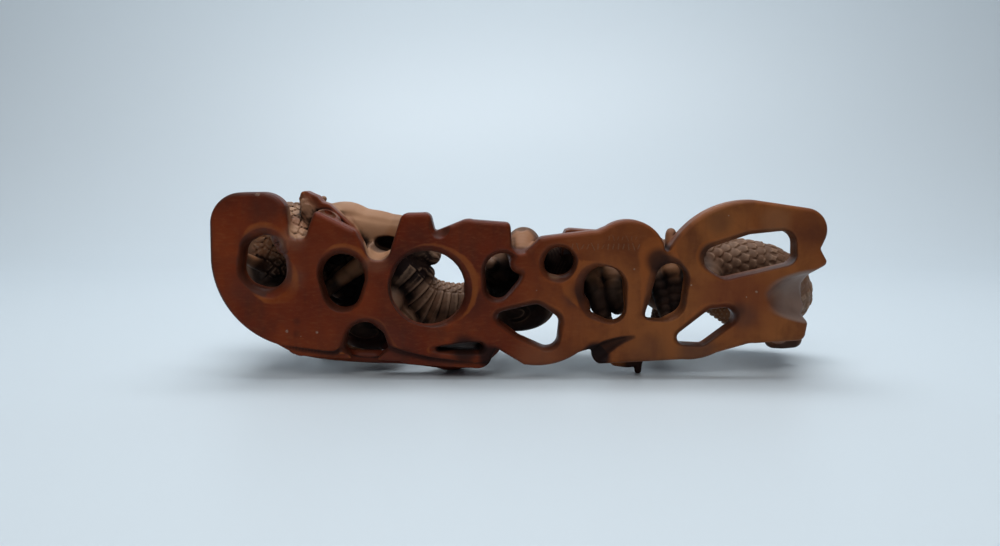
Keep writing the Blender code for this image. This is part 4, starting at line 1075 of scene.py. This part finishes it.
def strokes(n, x, z, first, last, middle, height, spacing, share):
    """One row of slanted scratches, no two alike, none a letter."""
    cell = n.math("DIVIDE", n.math("SUBTRACT", x, (first + SHIFT[0]) * 0.001), spacing * 0.001)
    index = n.math("FLOOR", cell)
    chance = n.add("ShaderNodeTexWhiteNoise", {"W": index}, noise_dimensions="1D").outputs["Value"]
    up = n.math("SUBTRACT", z, middle * 0.001)
    lean = n.math("MULTIPLY", n.math("MULTIPLY_ADD", chance, 1.1, -0.5), n.math("DIVIDE", up, spacing * 0.001))
    off = n.math("ABSOLUTE", n.math("SUBTRACT", n.math("MULTIPLY_ADD", n.math("FRACT", cell), 1.0, -0.5), lean))
    line = n.ramp(off, 0.07, 0.17, 1.0, 0.0)
    half = n.math("MULTIPLY", n.math("MULTIPLY_ADD", chance, -0.25, 0.55), height * 0.001)
    tall = n.ramp(n.math("SUBTRACT", n.math("ABSOLUTE", up), half), -0.0003, 0.0001, 1.0, 0.0)
    inside = n.math("MULTIPLY", n.math("GREATER_THAN", cell, 0.0), n.math("LESS_THAN", cell, (last - first) / spacing))
    return n.math("MULTIPLY", n.math("MULTIPLY", line, tall), n.math("MULTIPLY", inside, share))


def wood_material():
    material = bpy.data.materials.new("oiled_boxwood")
    n = Nodes(material)
    where = n.add("ShaderNodeTexCoord").outputs["Object"]
    split = n.add("ShaderNodeSeparateXYZ", {0: where})
    x, y, z = split.outputs
    hollow = n.add("ShaderNodeAttribute", attribute_name="hollow").outputs["Fac"]
    closed = n.add("ShaderNodeAttribute", attribute_name="closed_in").outputs["Fac"]
    edge = n.add("ShaderNodeAttribute", attribute_name="edge").outputs["Fac"]
    stained = n.add("ShaderNodeAttribute", attribute_name="stained").outputs["Fac"]
    groove_shade = n.add("ShaderNodeAttribute", attribute_name="groove_shade").outputs["Fac"]
    face_y = SHIFT[1] * 0.001

    stretched = n.add("ShaderNodeMapping", {"Vector": where, "Scale": (0.30, 1.0, 1.0)}).outputs[0]
    upright = n.add("ShaderNodeMapping", {"Vector": where, "Scale": (1.0, 1.0, 0.18)}).outputs[0]
    blotch = n.noise(where, 22.0, 3.0, 0.5)
    cloud = n.noise(where, 55.0, 4.0, 0.6, 0.3)
    stain = n.noise(upright, 160.0, 4.0, 0.6, 0.4)
    grain = n.noise(stretched, 900.0, 5.0, 0.65, 0.6)
    fine = n.noise(where, 2600.0, 3.0, 0.6)

    # the stained face: red brown at the left, olive brown at the right
    rightward = n.ramp(x, -0.03, 0.07)
    red = n.mix(n.ramp(blotch, 0.35, 0.65), RED_DARK, RED_LIGHT)
    olive = n.mix(n.ramp(blotch, 0.35, 0.65), OLIVE_DARK, OLIVE_LIGHT)
    face = n.mix(rightward, red, olive)
    face = n.mix(n.ramp(cloud, 0.42, 0.72, 0.0, 0.50), face, (0.052, 0.014, 0.007))
    face = n.mix(n.ramp(stain, 0.45, 0.75, 0.0, 0.30), face, (0.045, 0.013, 0.008))
    face = n.mix(n.ramp(grain, 0.45, 0.8, 0.0, 0.25), face, (0.25, 0.085, 0.030))
    # painted shade on the sloping walls of the hole mouths
    slope = n.math("MULTIPLY", n.add("ShaderNodeAttribute", attribute_name="slope").outputs["Fac"], n.ramp(cloud, 0.25, 0.6, 0.25, 0.75))
    face = n.mix(slope, face, SLOPE_SHADE)
    # patches where the stain took differently, most of them long and soft
    for centre, inner, outer, share, tint in TINTS:
        face = n.mix(n.math("MULTIPLY", places(n, where, [(centre, inner, outer, share)]), n.ramp(cloud, 0.2, 0.7, 0.6, 1.0)), face, tint)
    # worn rims go orange
    worn = n.math("MULTIPLY", n.ramp(edge, 0.78, 1.0), n.ramp(cloud, 0.3, 0.65, 0.10, 0.60))
    face = n.mix(worn, face, WORN)

    # carving behind the base: paler and drier
    behind = n.ramp(y, face_y + 0.0065, face_y + 0.018)
    behind = n.math("MULTIPLY", behind, n.math("SUBTRACT", 1.0, stained))
    # paler bare wood, with painted light on surfaces that face the lamp above
    bare_and_lit = n.math("MULTIPLY", places(n, where, BARE_AND_LIT), n.ramp(y, face_y + 0.0006, face_y + 0.0026, 0.25, 1.0))
    behind = n.math("MAXIMUM", behind, bare_and_lit)
    pale = n.mix(n.ramp(blotch, 0.35, 0.65), PALE_DARK, PALE_LIGHT)
    tan = n.mix(n.ramp(blotch, 0.35, 0.65), TAN_DARK, TAN_LIGHT)
    tan = n.mix(n.ramp(cloud, 0.40, 0.70, 0.0, 0.55), tan, TAN_RED)
    tan = n.mix(n.ramp(stain, 0.4, 0.75, 0.0, 0.35), tan, (0.060, 0.028, 0.017))
    varnished = n.mix(n.ramp(blotch, 0.35, 0.65), BACK_DARK, BACK_LIGHT)
    varnished = n.mix(n.ramp(cloud, 0.40, 0.70, 0.0, 0.5), varnished, TAN_RED)
    tan = n.mix(n.ramp(y, face_y + 0.040, face_y + 0.054, 0.0, 0.85), tan, varnished)
    tan = n.mix(bare_and_lit, tan, pale)
    tan = n.mix(places(n, where, WARM_AND_SHADE), tan, n.mix(cloud, (0.190, 0.075, 0.033), (0.420, 0.195, 0.090)))
    colour = n.mix(behind, face, tan)

    # weathered grey in the scoop at the right end, growing toward the right as a painted sheen
    centre, half = WAIST_SCOOP
    from_centre = n.add("ShaderNodeVectorMath", {0: where, 1: in_row(centre)}, operation="SUBTRACT").outputs[0]
    scaled = n.add("ShaderNodeVectorMath", {0: from_centre, 1: tuple(h * 0.001 for h in half)}, operation="DIVIDE").outputs[0]
    out = n.add("ShaderNodeVectorMath", {0: scaled}, operation="LENGTH").outputs["Value"]
    scoop = n.math("MULTIPLY", n.ramp(out, 1.02, 1.10, 1.0, 0.0), n.ramp(x, 0.099, 0.112, 0.0, 0.9))
    colour = n.mix(scoop, colour, n.mix(cloud, (0.110, 0.066, 0.050), (0.290, 0.205, 0.170)))

    # darkening in the cuts, partly grime and old finish and partly painted shade, with spots of painted shade;
    # near-black painted shade where the carving closes in
    grime_and_shade = n.ramp(hollow, 0.20, 0.60, 0.0, 0.90)
    spot_shade = n.math("MAXIMUM", places(n, where, SHADE_SPOTS), n.math("MULTIPLY", groove_shade, 0.85))
    grime_and_shade = n.math("MULTIPLY", grime_and_shade, n.math("MULTIPLY_ADD", bare_and_lit, -0.55, 1.0))
    grime_and_shade = n.math("MAXIMUM", grime_and_shade, n.math("MULTIPLY", spot_shade, n.ramp(cloud, 0.25, 0.55, 0.80, 1.0)))
    colour = n.mix(grime_and_shade, colour, (0.0125, 0.0062, 0.0058))
    # the painted shade is left off at the LIT spots, where light falls into the holes
    lit = places(n, where, LIT)
    enclosed_shade = n.math("MULTIPLY", n.ramp(closed, DEEP_FROM, DEEP_TO, 0.0, 0.97), n.ramp(y, face_y + 0.003, face_y + 0.012), clamp=True)
    enclosed_shade = n.math("MULTIPLY", enclosed_shade, n.math("SUBTRACT", 1.0, lit), clamp=True)
    colour = n.mix(enclosed_shade, colour, (0.0042, 0.0026, 0.0026))
    # painted highlight on the convex edges of the carving behind the base
    high = n.math("MULTIPLY", behind, n.ramp(edge, 0.58, 0.88, 0.0, 0.40))
    high = n.math("MULTIPLY", high, n.math("SUBTRACT", 1.0, enclosed_shade))
    colour = n.mix(high, colour, (0.420, 0.270, 0.180))

    # scratched strokes, nicks and pits
    scratch = 0.0
    for row in STROKES:
        scratch = n.math("MAXIMUM", strokes(n, x, z, *row), scratch)
    on_face = n.ramp(y, face_y + 0.0015, face_y + 0.0030, 1.0, 0.0)
    scratch = n.math("MULTIPLY", scratch, on_face)
    scratch = n.math("MULTIPLY", scratch, n.ramp(fine, 0.35, 0.55, 0.35, 1.0))
    colour = n.mix(n.math("MULTIPLY", scratch, 0.42), colour, (0.230, 0.120, 0.070))
    nick = places(n, where, [((px, 0.1, pz), r * 0.35, r, 0.8) for px, pz, r in NICKS])
    nick = n.math("MULTIPLY", nick, n.ramp(fine, 0.40, 0.60, 0.25, 1.0))
    colour = n.mix(nick, colour, (0.330, 0.230, 0.170))

    rough = n.math("ADD", n.ramp(grain, 0.2, 0.8, 0.32, 0.46), n.math("MULTIPLY", grime_and_shade, 0.3))
    rough = n.math("ADD", rough, n.math("MULTIPLY", behind, 0.08), clamp=True)

    relief = n.math("ADD", n.math("MULTIPLY", grain, 0.6), n.math("MULTIPLY", fine, 0.4))
    bump = n.add("ShaderNodeBump", {"Strength": 0.18, "Distance": 0.0004, "Height": relief})
    tool = n.noise(where, 120.0, 2.0, 0.5)
    bump2 = n.add("ShaderNodeBump", {"Strength": 0.25, "Distance": 0.0012, "Height": tool, "Normal": bump.outputs[0]})
    marks = n.math("SUBTRACT", 1.0, n.math("MAXIMUM", scratch, nick))
    bump3 = n.add("ShaderNodeBump", {"Strength": 0.6, "Distance": 0.0004, "Height": marks, "Normal": bump2.outputs[0]})

    shader = n.add(
        "ShaderNodeBsdfPrincipled",
        {
            "Base Color": colour,
            "Roughness": rough,
            "Normal": bump3.outputs[0],
            "Specular IOR Level": GLOSS,
        },
    )
    out = n.add("ShaderNodeOutputMaterial")
    n.tree.links.new(shader.outputs[0], out.inputs[0])
    return material


# ---------------------------------------------------------------- studio
def plain_material(name, colour, roughness):
    material = bpy.data.materials.new(name)
    n = Nodes(material)
    shader = n.add("ShaderNodeBsdfPrincipled", {"Base Color": (*colour, 1), "Roughness": roughness})
    out = n.add("ShaderNodeOutputMaterial")
    n.tree.links.new(shader.outputs[0], out.inputs[0])
    return material


def sweep():
    """A pale floor that curves up behind."""
    profile = [(-1.6, 0.0), (0.35, 0.0)]
    profile += [(0.35 + 0.35 * math.sin(a), 0.35 - 0.35 * math.cos(a)) for a in (math.pi / 2 * k / 14 for k in range(1, 15))]
    profile.append((0.70, 2.2))
    verts = [(side, y, z) for y, z in profile for side in (-2.6, 2.6)]
    faces = [(2 * i, 2 * i + 1, 2 * i + 3, 2 * i + 2) for i in range(len(profile) - 1)]
    mesh = bpy.data.meshes.new("sweep")
    mesh.from_pydata(verts, [], faces)
    for polygon in mesh.polygons:
        polygon.use_smooth = True
    obj = bpy.data.objects.new("sweep", mesh)
    bpy.context.scene.collection.objects.link(obj)
    mesh.materials.append(plain_material("paper", (0.620, 0.700, 0.755), 0.45))


def area_light(name, place, toward, size, power, colour=(1, 1, 1)):
    light = bpy.data.lights.new(name, "AREA")
    light.shape = "RECTANGLE"
    light.size, light.size_y = size
    light.energy = power
    light.color = colour
    obj = bpy.data.objects.new(name, light)
    obj.location = place
    obj.rotation_euler = (Vector(toward) - Vector(place)).to_track_quat("-Z", "Y").to_euler()
    bpy.context.scene.collection.objects.link(obj)


def studio():
    bpy.context.scene.view_settings.view_transform = "Standard"
    sweep()
    world = bpy.data.worlds.new("room")
    bpy.context.scene.world = world
    world.use_nodes = True
    world.node_tree.nodes["Background"].inputs["Color"].default_value = (0.88, 0.90, 1.0, 1)
    world.node_tree.nodes["Background"].inputs["Strength"].default_value = 0.100
    area_light("overhead", (0.03, 0.10, 0.98), (0, 0.03, 0), (1.15, 0.70), 8.6, (0.97, 0.985, 1.0))
    area_light("front", (-0.1, -0.75, 0.75), (0, 0, 0.04), (0.9, 0.5), 3.3, (1.0, 0.97, 0.93))
    area_light("backdrop", (0.0, 0.30, 1.1), (0, 0.70, 0.35), (0.8, 0.3), 2.1, (0.93, 0.97, 1.0))


def camera():
    data = bpy.data.cameras.new("camera")
    data.lens = 30.6
    data.sensor_width = 36.0
    data.clip_start = 0.01
    obj = bpy.data.objects.new("camera", data)
    obj.location = ((-8.0 + SHIFT[0]) / 1000, (-357.0 + SHIFT[1]) / 1000, 0.0882)
    obj.rotation_euler = (math.radians(90 - 6.7), 0, 0)
    bpy.context.scene.collection.objects.link(obj)
    bpy.context.scene.camera = obj


wood = wood_material()
for piece in build_carving():
    piece.data.materials.append(wood)
    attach(piece, "root")
    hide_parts("dragon_carving")
studio()
camera()
